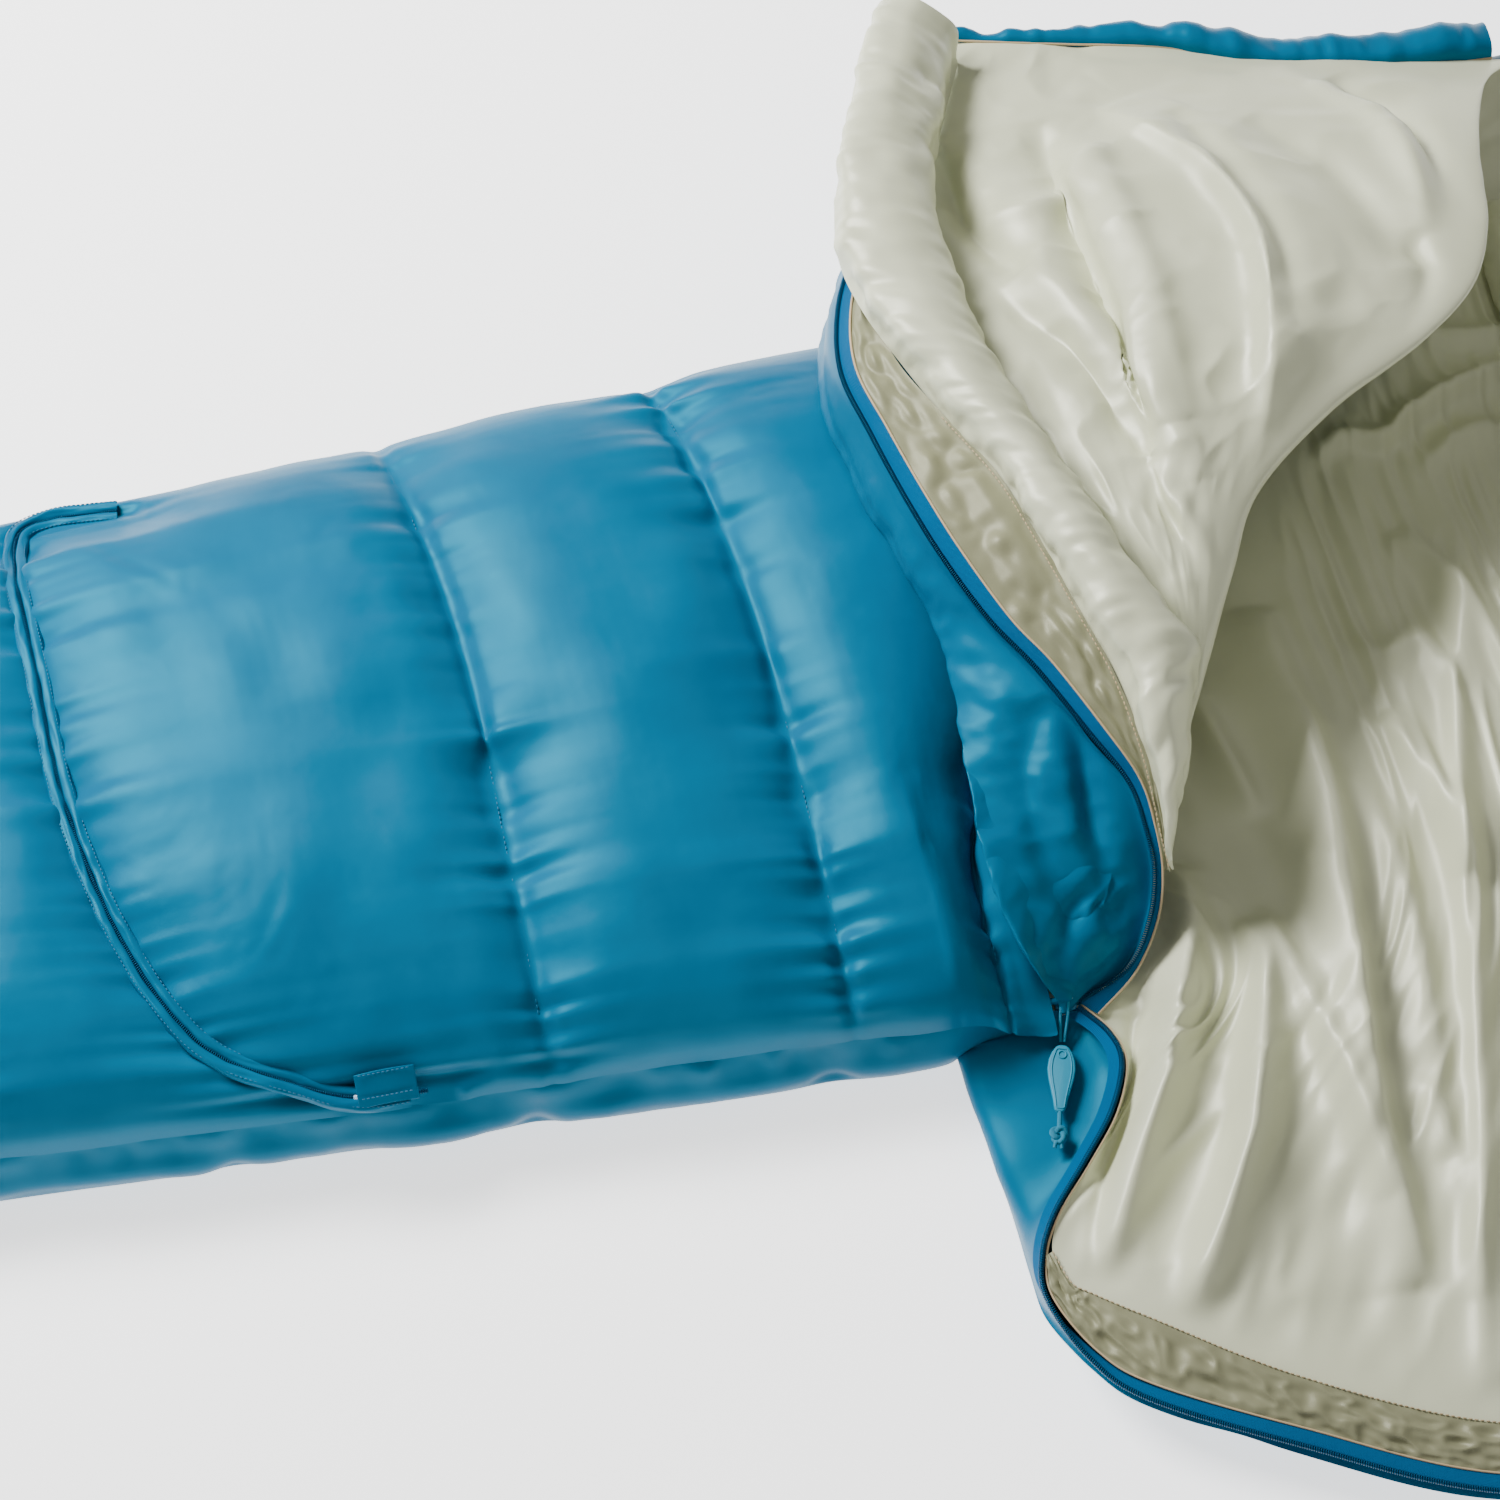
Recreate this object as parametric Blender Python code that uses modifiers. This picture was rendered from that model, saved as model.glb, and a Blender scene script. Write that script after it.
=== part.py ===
"""Child's tapered sleeping bag, unzipped, with its top layer turned back. Metres, +Z up.

+X runs from the foot to the hood. The zip is on the -Y side. The bag lies on z = 0, and the
origin is under the middle of the whole bag as it lies.
"""
import math

import bmesh
import bpy
from mathutils import Vector

# Overall sizes
LENGTH = 1.65            # foot to the top of the hood
FOOT_WIDTH = 0.42        # closed tube at the foot
NECK_WIDTH = 0.57        # closed tube at the neck
HOOD_LENGTH = 0.325
ZIP_RUN = 0.427          # slider to neck, measured along the bag
AXIS_Y = 0.07            # middle of the closed tube
FOOT_ROUND = 0.09        # corner radius at the foot

# Layers, from the floor up
GAP = 0.0003             # clearance between touching pieces
SHELL = 0.003
LINING = 0.002
BOTTOM_LOFT = 0.028
CAVITY = 0.040           # clear height inside the closed tube
TOP_LOFT = 0.042
FLAP_LOFT = 0.046
ROLL_HEIGHT = 0.046      # draft tube beside the zip
SIDE_WALL = 0.036
HEM_RADIUS = 0.0092      # roll along the flap's neck edge
SEAM_GAP = 0.003         # quilting groove between two chambers
SOFT_EDGE = 0.010

# Zip
CHAIN_RADIUS = 0.0016    # half of the closed coil
ZIP_RISE = 0.0075        # height of the slider's middle above the lower lining
TAPE_WIDTH = 0.010
TAPE = 0.001
FACING_WIDTH = 0.036
FACING = 0.001
ROLL_WIDTH = 0.066
SLIDER_LENGTH = 0.014
SLIDER_WIDTH = 0.012
SLIDER_PLATE = 0.0012
SLIDER_POST = 0.0022
BAIL_RADIUS = 0.0009
BAIL_HEIGHT = 0.005
BAIL_REACH = 0.0042
CORD_RADIUS = 0.00125
PULL_LENGTH = 0.045
PULL_WIDTH = 0.019
PULL_THICK = 0.004
PULL_YAW = -17           # degrees: the pull lies turned towards the foot
LOOP_LENGTH = 0.0255
TAIL_LENGTH = 0.010
KNOT_RADIUS = 0.005
PATCH = (0.019, 0.014, 0.0015)   # sewn over the closed zip: length, width, thickness
PATCH_BACK = 0.025       # its middle, behind the slider's
CORNER_DROP = 0.259      # where the lower facing starts, on the -Y side of the slider

# Extension zip round the lower leg
TAB = (0.034, 0.022, 0.0015)   # length, width, thickness
GUSSET = 0.004
GUSSET_WIDTH = 0.05

# How the zip leaves the slider
LEVEL_RUN = 0.064        # length of the lower half that lies level, up to and past the slider
LOWER_FALL = 0.06        # length over which it then comes down to the lining
FLAP_CLIMB = 0.15        # length over which the upper half climbs to the flap's edge

CHAMBERS = 4             # quilted chambers between the foot and the first open seam
FIRST_SEAM_BACK = 0.148  # that seam's distance behind the slider

foot_x = -LENGTH / 2
head_x = LENGTH / 2
neck_x = head_x - HOOD_LENGTH
slider_x = neck_x - ZIP_RUN
first_seam = slider_x - FIRST_SEAM_BACK
pitch = (first_seam - foot_x) / CHAMBERS
seams = [foot_x + pitch * step for step in range(CHAMBERS + 2)]

bottom_batt = SHELL + GAP
bottom_lining = bottom_batt + BOTTOM_LOFT + GAP
floor_in = bottom_lining + LINING
ceiling = floor_in + CAVITY
top_batt = ceiling + LINING + GAP
top_skin = top_batt + TOP_LOFT
flap_shell = top_skin + GAP
flap_batt = flap_shell + SHELL + GAP
flap_lining = flap_batt + FLAP_LOFT + GAP
flap_top = flap_lining + LINING + GAP
chain_z = floor_in + ZIP_RISE
chain_top = chain_z + CHAIN_RADIUS
plate_top = chain_top + GAP + SLIDER_PLATE
pivot_z = plate_top + GAP + BAIL_HEIGHT


def half_width(x):
    """Half the width of the closed tube, which tapers to the foot."""
    share = (x - foot_x) / (neck_x - foot_x)
    return (FOOT_WIDTH + (NECK_WIDTH - FOOT_WIDTH) * share) / 2


def near(x):
    return AXIS_Y - half_width(x)


def far(x):
    return AXIS_Y + half_width(x)


slider_at = Vector((slider_x, near(slider_x) + 0.014))
fold_start = slider_at + Vector((0.016, 0.020))
hinge_far = Vector((neck_x, far(neck_x) + 0.045))
far_edge = hinge_far.y + 0.13


# Outlines in plan

def smooth(points, steps=5):
    """A Catmull-Rom curve through the points."""
    points = [Vector(p) for p in points]
    ends = [2 * points[0] - points[1]] + points + [2 * points[-1] - points[-2]]
    curve = []
    for a, b, c, d in zip(ends, ends[1:], ends[2:], ends[3:]):
        for step in range(steps):
            t = step / steps
            curve.append(0.5 * (2 * b + (c - a) * t + (2 * a - 5 * b + 4 * c - d) * t ** 2
                                + (3 * b - a - 3 * c + d) * t ** 3))
    return curve + [points[-1]]


def beside(path, distance):
    """The path moved sideways: a positive distance is to the left of its direction."""
    moved = []
    for index, point in enumerate(path):
        ahead = path[min(index + 1, len(path) - 1)]
        behind = path[max(index - 1, 0)]
        run = (ahead - behind).normalized()
        moved.append(point + Vector((-run.y, run.x)) * distance)
    return moved


def band(path, inner, outer):
    """The outline of a strip between two distances to the left of a path."""
    return beside(path, inner) + beside(path, outer)[::-1]


def clip(outline, point, direction):
    """The part of an outline behind a line through point, whose normal is direction."""
    kept = []
    for a, b in zip(outline, outline[1:] + outline[:1]):
        side_a = (a - point).dot(direction)
        side_b = (b - point).dot(direction)
        if side_a <= 0:
            kept.append(a)
        if (side_a < 0) != (side_b < 0) and side_a != side_b:
            kept.append(a.lerp(b, side_a / (side_a - side_b)))
    return [p for p, q in zip(kept, kept[1:] + kept[:1]) if (p - q).length > 0.0005]


def between(outline, low, high, axis=0):
    """The part of an outline between two coordinates along an axis, less the seam gaps."""
    unit = Vector((1, 0)) if axis == 0 else Vector((0, 1))
    outline = clip(outline, unit * (high - SEAM_GAP / 2), unit)
    return clip(outline, unit * (low + SEAM_GAP / 2), -unit)


def foot_corner(x, y, across):
    """A quarter circle at one corner of the foot."""
    centre = Vector((x + FOOT_ROUND, y - across * FOOT_ROUND))
    turns = [math.radians(90 * step / 5) for step in range(6)]
    arc = [centre + FOOT_ROUND * Vector((-math.cos(a), across * math.sin(a))) for a in turns]
    return arc if across > 0 else arc[::-1]


def near_sweep():
    """The lower layer's near edge, from the slider round the spread corner to the neck."""
    steps = [(-0.066, -0.007), (-0.062, -0.065), (-0.057, -0.120), (-0.055, -0.175), (-0.040, -0.218),
             (-0.010, -0.254), (0.065, -0.299), (0.172, -0.346), (0.310, -0.371), (0.427, -0.325)]
    return smooth([slider_at + Vector(step) for step in steps], 3)


def hood_sweep():
    """The open hood's edge, from the near end of the neck round to the far end."""
    start = slider_at + Vector((0.427, -0.325))
    middle = (start.y + hinge_far.y) / 2
    reach = (hinge_far.y - start.y) / 2
    shares = [(0.0, -1.0), (0.38, -0.94), (0.74, -0.72), (0.95, -0.38), (1.0, 0.0),
              (0.95, 0.38), (0.74, 0.72), (0.38, 0.94), (0.0, 1.0)]
    return smooth([(neck_x + HOOD_LENGTH * a, middle + reach * b) for a, b in shares], 3)


def lower_outline():
    """The whole lower layer, counter-clockwise."""
    near_side = [Vector((slider_x - 0.2, near(slider_x - 0.2)))] + near_sweep()[:-1]
    far_side = [Vector((slider_x + 0.2, far(slider_x + 0.2) + 0.015)), Vector((slider_x, far(slider_x)))]
    foot = foot_corner(foot_x, far(foot_x), 1)[::-1] + foot_corner(foot_x, near(foot_x), -1)[::-1]
    return near_side + hood_sweep() + far_side + foot


def along_fold(share, back):
    """A point on the fold line, moved back towards the foot."""
    run = hinge_far - fold_start
    return fold_start + run * share + Vector((-run.y, run.x)).normalized() * back


def mouth_path():
    """The edge of the tube's top layer, from beside the slider along the fold to the far side."""
    steps = [(-0.055, 0.003), (-0.034, 0.010), (-0.016, 0.032), (-0.006, 0.072),
             (0.018, 0.122), (0.075, 0.168)]
    bends = [along_fold(share, 0.006) for share in (0.32, 0.6, 0.92)]
    return smooth([slider_at + Vector(step) for step in steps] + bends, 2)


def upper_outline():
    """The tube's top layer, counter-clockwise."""
    foot = foot_corner(foot_x, far(foot_x), 1)[::-1] + foot_corner(foot_x, near(foot_x), -1)[::-1]
    return mouth_path() + [Vector((neck_x - 0.05, far(neck_x - 0.05)))] + foot


def flap_zip_path():
    """The zip edge of the flap, from just above the slider to the top of the zip."""
    steps = [(0.020, 0.075), (0.004, 0.160), (-0.024, 0.245), (-0.050, 0.345), (-0.051, 0.455),
             (-0.036, 0.560), (-0.008, 0.650), (0.030, far_edge - slider_at.y)]
    return smooth([slider_at + Vector(step) for step in steps], 3)


def hem_path():
    """The flap's neck hem, from the top of the zip to the hood seam."""
    start = flap_zip_path()[-1]
    steps = [(0.10, -0.030), (0.21, -0.062), (0.30, -0.098)]
    end = hinge_far + Vector((-0.012, 0.010))
    return smooth([start] + [start + Vector(step) for step in steps] + [end], 3)


def flap_outline():
    """The turned-back flap, counter-clockwise: fold line, hem, zip edge."""
    fold = [along_fold(share, 0.007) for share in (0.15, 0.6, 0.97)]
    edge = beside(flap_zip_path(), -TAPE_WIDTH - 2 * GAP)
    return fold + hem_path()[::-1][1:-1] + edge[::-1]


def ring_path():
    """The extension zip's line across the top of the leg, from the far side to the near side."""
    shares = [(0.006, 0.86), (-0.050, 0.80), (-0.074, 0.55), (-0.070, 0.26), (-0.063, -0.03), (-0.052, -0.28),
              (-0.036, -0.50), (0.0, -0.72), (0.05, -0.82), (0.10, -0.855)]
    middle = seams[2]
    return smooth([(middle + dx, AXIS_Y + v * half_width(middle + dx)) for dx, v in shares], 3)


# Solids

collection = bpy.data.collections.new("sleeping_bag")
cutters = bpy.data.collections.new("cutters")
PALETTE = {
    "shell": ((0.0, 0.20, 0.34, 1.0), 0.35),
    "lining": ((0.52, 0.54, 0.44, 1.0), 0.40),
    "facing": ((0.23, 0.23, 0.13, 1.0), 0.32),
    "tape": ((0.0, 0.13, 0.30, 1.0), 0.60),
    "chain": ((0.01, 0.05, 0.11, 1.0), 0.35),
    "metal": ((0.03, 0.16, 0.28, 1.0), 0.30),
    "cord": ((0.0, 0.16, 0.26, 1.0), 0.70),
}


def finish(name, data, kind, height, parent=None, local=False):
    """Put a shape in the collection, with a material of its own.

    A shape with a parent is drawn in world coordinates, or in its parent's if it is local.
    """
    colour, roughness = PALETTE[kind]
    material = bpy.data.materials.new(name)
    material.use_nodes = True
    shader = material.node_tree.nodes["Principled BSDF"]
    shader.inputs["Base Color"].default_value = colour
    shader.inputs["Roughness"].default_value = roughness
    shader.inputs["Metallic"].default_value = 1.0 if kind == "metal" else 0.0
    data.materials.append(material)
    part = bpy.data.objects.new(name, data)
    collection.objects.link(part)
    part.location.z = height
    if parent:
        part.parent = parent
        if not local:
            part.location -= parent.location
    return part


def slab(name, outline, low, high, kind, soft=0.0, parent=None, local=False):
    """A flat piece with this outline, and soft edges if asked."""
    curve = bpy.data.curves.new(name, "CURVE")
    curve.dimensions = "2D"
    curve.fill_mode = "BOTH"
    curve.extrude = (high - low) / 2
    spline = curve.splines.new("POLY")
    spline.points.add(len(outline) - 1)
    for point, place in zip(spline.points, outline):
        point.co = (place[0], place[1], 0, 1)
    spline.use_cyclic_u = True
    part = finish(name, curve, kind, (low + high) / 2, parent, local)
    if soft:
        weld = part.modifiers.new("weld", "WELD")
        weld.merge_threshold = 0.00005
        bevel = part.modifiers.new("bevel", "BEVEL")
        bevel.width = soft
        bevel.segments = 2
        bevel.limit_method = "ANGLE"
        bevel.angle_limit = math.radians(50)
    return part


def tube(name, points, radius, kind, parent=None, closed=False, local=False):
    """A round cord, wire or roll along a line of points."""
    curve = bpy.data.curves.new(name, "CURVE")
    curve.dimensions = "3D"
    curve.bevel_depth = radius
    curve.bevel_resolution = 2
    curve.use_fill_caps = not closed
    spline = curve.splines.new("POLY")
    spline.points.add(len(points) - 1)
    for point, place in zip(spline.points, points):
        point.co = (*place, 1)
    spline.use_cyclic_u = closed
    return finish(name, curve, kind, 0.0, parent, local)


def ribbon(name, path, side, rolls, inner, outer, thick, kind, parent=None):
    """A tape beside a line in space, which rolls over about the line as it goes.

    Side is 1 for a tape to the left of its line; a roll of 180 degrees brings it to the right.
    """
    mesh = bpy.data.meshes.new(name)
    build = bmesh.new()
    rings = []
    for index, point in enumerate(path):
        ahead = path[min(index + 1, len(path) - 1)]
        behind = path[max(index - 1, 0)]
        run = (ahead - behind).normalized()
        left = Vector((0, 0, 1)).cross(run).normalized() * side
        up = run.cross(left) * side
        angle = math.radians(rolls[index])
        across = left * math.cos(angle) + up * math.sin(angle)
        normal = run.cross(across) * thick / 2
        corners = [across * inner - normal, across * outer - normal,
                   across * outer + normal, across * inner + normal]
        rings.append([build.verts.new(point + corner) for corner in corners])
    for one, two in zip(rings, rings[1:]):
        for corner in range(4):
            build.faces.new((one[corner], two[corner], two[corner - 3], one[corner - 3]))
    build.faces.new(rings[0])
    build.faces.new(rings[-1][::-1])
    bmesh.ops.recalc_face_normals(build, faces=build.faces[:])
    build.to_mesh(mesh)
    build.free()
    return finish(name, mesh, kind, 0.0, parent)


def block(name, centre, size, kind, turn=0.0, parent=None):
    """A small block with slightly rounded edges, turned about its own middle."""
    mesh = bpy.data.meshes.new(name)
    build = bmesh.new()
    bmesh.ops.create_cube(build, size=1.0)
    bmesh.ops.scale(build, vec=size, verts=build.verts)
    build.to_mesh(mesh)
    build.free()
    part = finish(name, mesh, kind, 0.0, parent)
    part.location += Vector(centre)
    part.rotation_euler.z = turn
    bevel = part.modifiers.new("bevel", "BEVEL")
    bevel.width = min(size) * 0.2
    bevel.segments = 2
    return part


def joint_frame(name, place, parent=None):
    """An empty on a joint's axis, which carries the pieces that move with it."""
    empty = bpy.data.objects.new(name, None)
    collection.objects.link(empty)
    empty.location = Vector(place)
    if parent:
        empty.parent = parent
        empty.location -= parent.location
    return empty


def lift(flat, height):
    return [(point.x, point.y, height) for point in flat]


# The lower layer, from foot to hood

def lower_layer():
    outline = lower_outline()
    slab("bottom_shell", outline, 0.0, SHELL, "shell")
    top = bottom_batt + BOTTOM_LOFT
    marks = seams + [seams[-1] + pitch, neck_x]
    names = ["foot", "shin", "calf", "knee", "thigh", "hip", "shoulder"]
    for name, low, high in zip(names, marks, marks[1:]):
        slab(f"bottom_chamber_{name}", between(outline, low, high), bottom_batt, top, "shell", SOFT_EDGE)
    inside = clip(outline, Vector((neck_x - SEAM_GAP / 2, 0)), Vector((1, 0)))
    slab("bottom_lining", inside, bottom_lining, floor_in, "lining")


def hood():
    outline = clip(lower_outline(), Vector((neck_x + SEAM_GAP / 2, 0)), Vector((-1, 0)))
    middle = (slider_at.y - 0.325 + hinge_far.y) / 2
    third = (hinge_far.y - middle) * 0.36
    low, high = middle - third, middle + third
    up = Vector((0, 1))
    strips = {
        "near": clip(outline, Vector((0, low - SEAM_GAP / 2)), up),
        "centre": between(outline, low, high, axis=1),
        "far": clip(outline, Vector((0, high + SEAM_GAP / 2)), -up),
    }
    collar_edge = neck_x + SEAM_GAP / 2 + ROLL_HEIGHT
    for side, strip in strips.items():
        slab(f"hood_{side}_panel", strip, bottom_batt, bottom_batt + BOTTOM_LOFT, "shell", SOFT_EDGE)
        lined = clip(strip, Vector((collar_edge + GAP, 0)), Vector((-1, 0)))
        slab(f"hood_{side}_lining", lined, bottom_lining, floor_in, "lining")
    collar = [Vector((collar_edge, slider_at.y - 0.23)), Vector((collar_edge, hinge_far.y - 0.10))]
    slab("draft_collar", band(collar, 0, ROLL_HEIGHT), bottom_lining, bottom_lining + ROLL_HEIGHT,
         "lining", ROLL_HEIGHT * 0.35)


# The closed tube

def side_walls():
    """The stitched side channels that hold the top layer off the bottom one."""
    start = foot_x + FOOT_ROUND
    ends = {"near": (near, 1, slider_x - 0.075), "far": (far, -1, neck_x - 0.06)}
    for side, (edge, inward, stop) in ends.items():
        outline = [Vector((x, edge(x) + inward * shift)) for x, shift in
                   ((start, 0.004), (stop, 0.004), (stop, SIDE_WALL), (start, SIDE_WALL))]
        slab(f"{side}_side_channel", outline, floor_in + GAP, ceiling - GAP, "shell")
    ends = foot_corner(foot_x, near(foot_x), -1) + foot_corner(foot_x, far(foot_x), 1)
    cap = clip(ends, Vector((foot_x + SIDE_WALL, 0)), Vector((1, 0)))
    slab("foot_end_channel", cap, floor_in + GAP, ceiling - GAP, "shell")


def top_layer():
    outline = upper_outline()
    slab("top_lining", outline, ceiling, ceiling + LINING, "lining")
    ring = ring_path()
    far_end = Vector((ring[0].x, AXIS_Y + NECK_WIDTH))
    near_end = Vector((ring[-1].x, AXIS_Y - NECK_WIDTH))
    line = [far_end] + ring + [near_end]
    footward = [p + Vector((-GAP, 0)) for p in line]
    headward = [p + Vector((GAP, 0)) for p in line]
    pieces = {
        "foot": between(outline, seams[0], seams[1]),
        "shin": ring_side(outline, footward, seams[1], -1),
        "calf": ring_side(outline, headward, seams[3], 1),
        "knee": between(outline, seams[3], seams[4]),
        "thigh": between(outline, seams[4], seams[5]),
        "hip": between(outline, seams[5], neck_x),
    }
    for name, piece in pieces.items():
        slab(f"top_chamber_{name}", piece, top_batt, top_skin, "shell", SOFT_EDGE)


def ring_side(outline, line, seam, side):
    """One chamber beside the extension zip: straight at its seam, curved along the zip."""
    inside = [p for p in line if near(p.x) < p.y < far(p.x)]
    ends = []
    for point, edge in ((inside[0], far), (inside[-1], near)):
        ends.append(Vector((point.x, edge(point.x))))
    x = seam - side * SEAM_GAP / 2
    return [Vector((x, near(x))), Vector((x, far(x))), ends[0]] + inside + [ends[1]]


def extension_zip():
    """The ring zip that lengthens the bag, its garage tab and the gusset folded behind it."""
    ring = ring_path()
    zipped = ring[:-3]
    low = top_skin + GAP
    edge = CHAIN_RADIUS + GAP
    slab("extension_tape_foot", band(zipped, -edge, -edge - TAPE_WIDTH), low, low + TAPE, "tape")
    slab("extension_tape_leg", band(zipped, edge, edge + TAPE_WIDTH), low, low + TAPE, "tape")
    tube("extension_chain", lift(zipped, low + CHAIN_RADIUS), CHAIN_RADIUS, "chain")
    run = (ring[-1] - zipped[-1]).normalized()
    at = zipped[-1] + run * (SLIDER_LENGTH / 2 + 3 * GAP)
    turn = math.atan2(run.y, run.x)
    height = 3 * CHAIN_RADIUS
    size = (SLIDER_LENGTH, SLIDER_WIDTH, height)
    block("extension_slider", (at.x, at.y, low + height / 2), size, "metal", turn)
    block("garage_tab", (at.x, at.y, low + height + GAP + TAB[2] / 2), TAB, "shell", turn)
    folded = band(ring[1:-1], GUSSET_WIDTH / 4, GUSSET_WIDTH)
    slab("extension_gusset", folded, ceiling - GAP - GUSSET, ceiling - GAP, "shell")


# The flap: the top layer's free part, turned back over the tube

def flap(axis):
    outline = flap_outline()
    slab("flap_shell", outline, flap_shell, flap_shell + SHELL, "shell", parent=axis)
    rows = [outline[0].y + pitch * step for step in range(3)] + [far_edge + SEAM_GAP]
    for name, low, high in zip(("hip", "chest", "shoulder"), rows, rows[1:]):
        slab(f"flap_chamber_{name}", between(outline, low, high, axis=1), flap_batt, flap_batt + FLAP_LOFT,
             "shell", SOFT_EDGE, axis)
    slab("flap_lining", outline, flap_lining, flap_lining + LINING, "lining", parent=axis)
    edge = flap_zip_path()
    inner = TAPE_WIDTH + 2 * GAP
    slab("flap_facing", band(edge, -inner, -inner - FACING_WIDTH), flap_top, flap_top + FACING, "facing",
         parent=axis)
    inner += FACING_WIDTH + GAP
    slab("draft_tube", band(edge[2:-1], -inner, -inner - ROLL_WIDTH), flap_top, flap_top + ROLL_HEIGHT,
         "lining", ROLL_HEIGHT * 0.38, axis)
    hem = beside(hem_path(), HEM_RADIUS + GAP)
    tube("neck_hem", lift(hem, flap_batt + FLAP_LOFT / 2), HEM_RADIUS, "shell", axis)


def ease(share):
    share = min(max(share, 0.0), 1.0)
    return share * share * (3 - 2 * share)


def climb(path, low, high, level, run):
    """A line in space over a path, level at first and then rising or falling, with its share of the run."""
    points, shares, travelled = [], [], -level
    for before, point in zip([path[0]] + path, path):
        travelled += (point - before).length
        share = ease(travelled / run)
        shares.append(share)
        points.append(Vector((point.x, point.y, low + (high - low) * share)))
    return points, shares


def zip_half(name, line, rolls, side, parent=None):
    """Half of the coil, with its tape beside it."""
    ribbon(f"{name}_zip_tape", line, side, rolls, CHAIN_RADIUS + 2 * GAP, TAPE_WIDTH, TAPE, "tape", parent)
    tube(f"{name}_zip_chain", line, CHAIN_RADIUS, "chain", parent)


def half_start(side):
    """Half of the closed zip, up to the slider, and its parting inside the slider."""
    half = CHAIN_RADIUS + GAP / 2
    steps = [(-0.032, half), (-0.016, half + 0.0001), (-0.002, half + 0.0007), (0.008, half + 0.0045)]
    return [slider_at + Vector((x, side * y)) for x, y in steps]


def lower_zip_path():
    steps = [(0.016, -0.014), (0.024, -0.030), (0.014, -0.062), (-0.022, -0.105),
             (-0.046, -0.150), (-0.046, -0.190), (-0.024, -0.226), (0.018, -0.262), (0.080, -0.294),
             (0.172, -0.332), (0.305, -0.354), (0.405, -0.320)]
    return smooth(half_start(-1) + [slider_at + Vector(step) for step in steps], 3)


def main_zip(axis):
    """Both halves of the zip. The upper one is cut where the flap starts to turn."""
    rise = [fold_start + Vector(step) for step in ((0.004, 0.014), (0.006, 0.034))]
    upper = smooth(half_start(1) + [fold_start] + rise + flap_zip_path()[::3], 3)
    cut = upper.index(fold_start)
    level = [Vector((p.x, p.y, chain_z)) for p in upper[:cut + 1]]
    zip_half("upper", level, [0] * len(level), 1)
    turn = [upper[cut].lerp(upper[cut + 1], 0.4)] + upper[cut + 1:]
    line, shares = climb(turn, chain_z, flap_lining + LINING / 2, 0.0, FLAP_CLIMB)
    zip_half("flap", line, [180 * ease(share * 1.5) for share in shares], 1, axis)
    path = lower_zip_path()
    line, shares = climb(path, chain_z, floor_in + GAP + CHAIN_RADIUS, LEVEL_RUN, LOWER_FALL)
    zip_half("lower", line, [180 * share for share in shares], -1)
    inner = TAPE_WIDTH + GAP
    corner = [point for point in path if point.y < slider_at.y - CORNER_DROP][:-2]
    slab("lower_facing", band(corner, inner, inner + FACING_WIDTH), floor_in + GAP,
         floor_in + GAP + FACING, "facing")
    x, y = slider_at
    block("zip_end_patch", (x - PATCH_BACK, y, chain_top + GAP + PATCH[2] / 2), PATCH, "tape")


# The slider, its bail and its pull

def helper_box(name, centre, size, parent):
    """A box that a Boolean uses and that isn't a piece itself."""
    mesh = bpy.data.meshes.new(name)
    build = bmesh.new()
    bmesh.ops.create_cube(build, size=1.0)
    bmesh.ops.scale(build, vec=size, verts=build.verts)
    build.to_mesh(mesh)
    build.free()
    box = bpy.data.objects.new(name, mesh)
    cutters.objects.link(box)
    box.parent = parent
    box.location = Vector(centre) - parent.location
    box.hide_render = True
    box.display_type = "WIRE"
    return box


def combine(part, operation, other):
    step = part.modifiers.new(other.name, "BOOLEAN")
    step.operation = operation
    step.object = other


def slider(frame):
    """Two plates joined by a post, which runs between the halves of the coil."""
    x, y = slider_at
    middle = chain_z
    depth = 2 * (plate_top - chain_z)
    body = block("slider_body", (x, y, middle), (SLIDER_LENGTH, SLIDER_WIDTH, depth), "metal", parent=frame)
    slot = helper_box("slider_slot", (x, y, middle), (0.03, 0.03, depth - 2 * SLIDER_PLATE), frame)
    post_x = x + SLIDER_LENGTH / 2 - SLIDER_POST
    size = (SLIDER_POST, SLIDER_POST, depth - SLIDER_PLATE)
    post = helper_box("slider_post", (post_x, y, middle), size, frame)
    combine(body, "DIFFERENCE", slot)
    combine(body, "UNION", post)
    turns = [math.pi * step / 8 for step in range(9)]
    foot = plate_top + GAP
    arch = [(x - BAIL_REACH * math.cos(a), y, foot + BAIL_HEIGHT * math.sin(a)) for a in turns]
    tube("slider_bail", arch, BAIL_RADIUS, "metal", frame)


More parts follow.
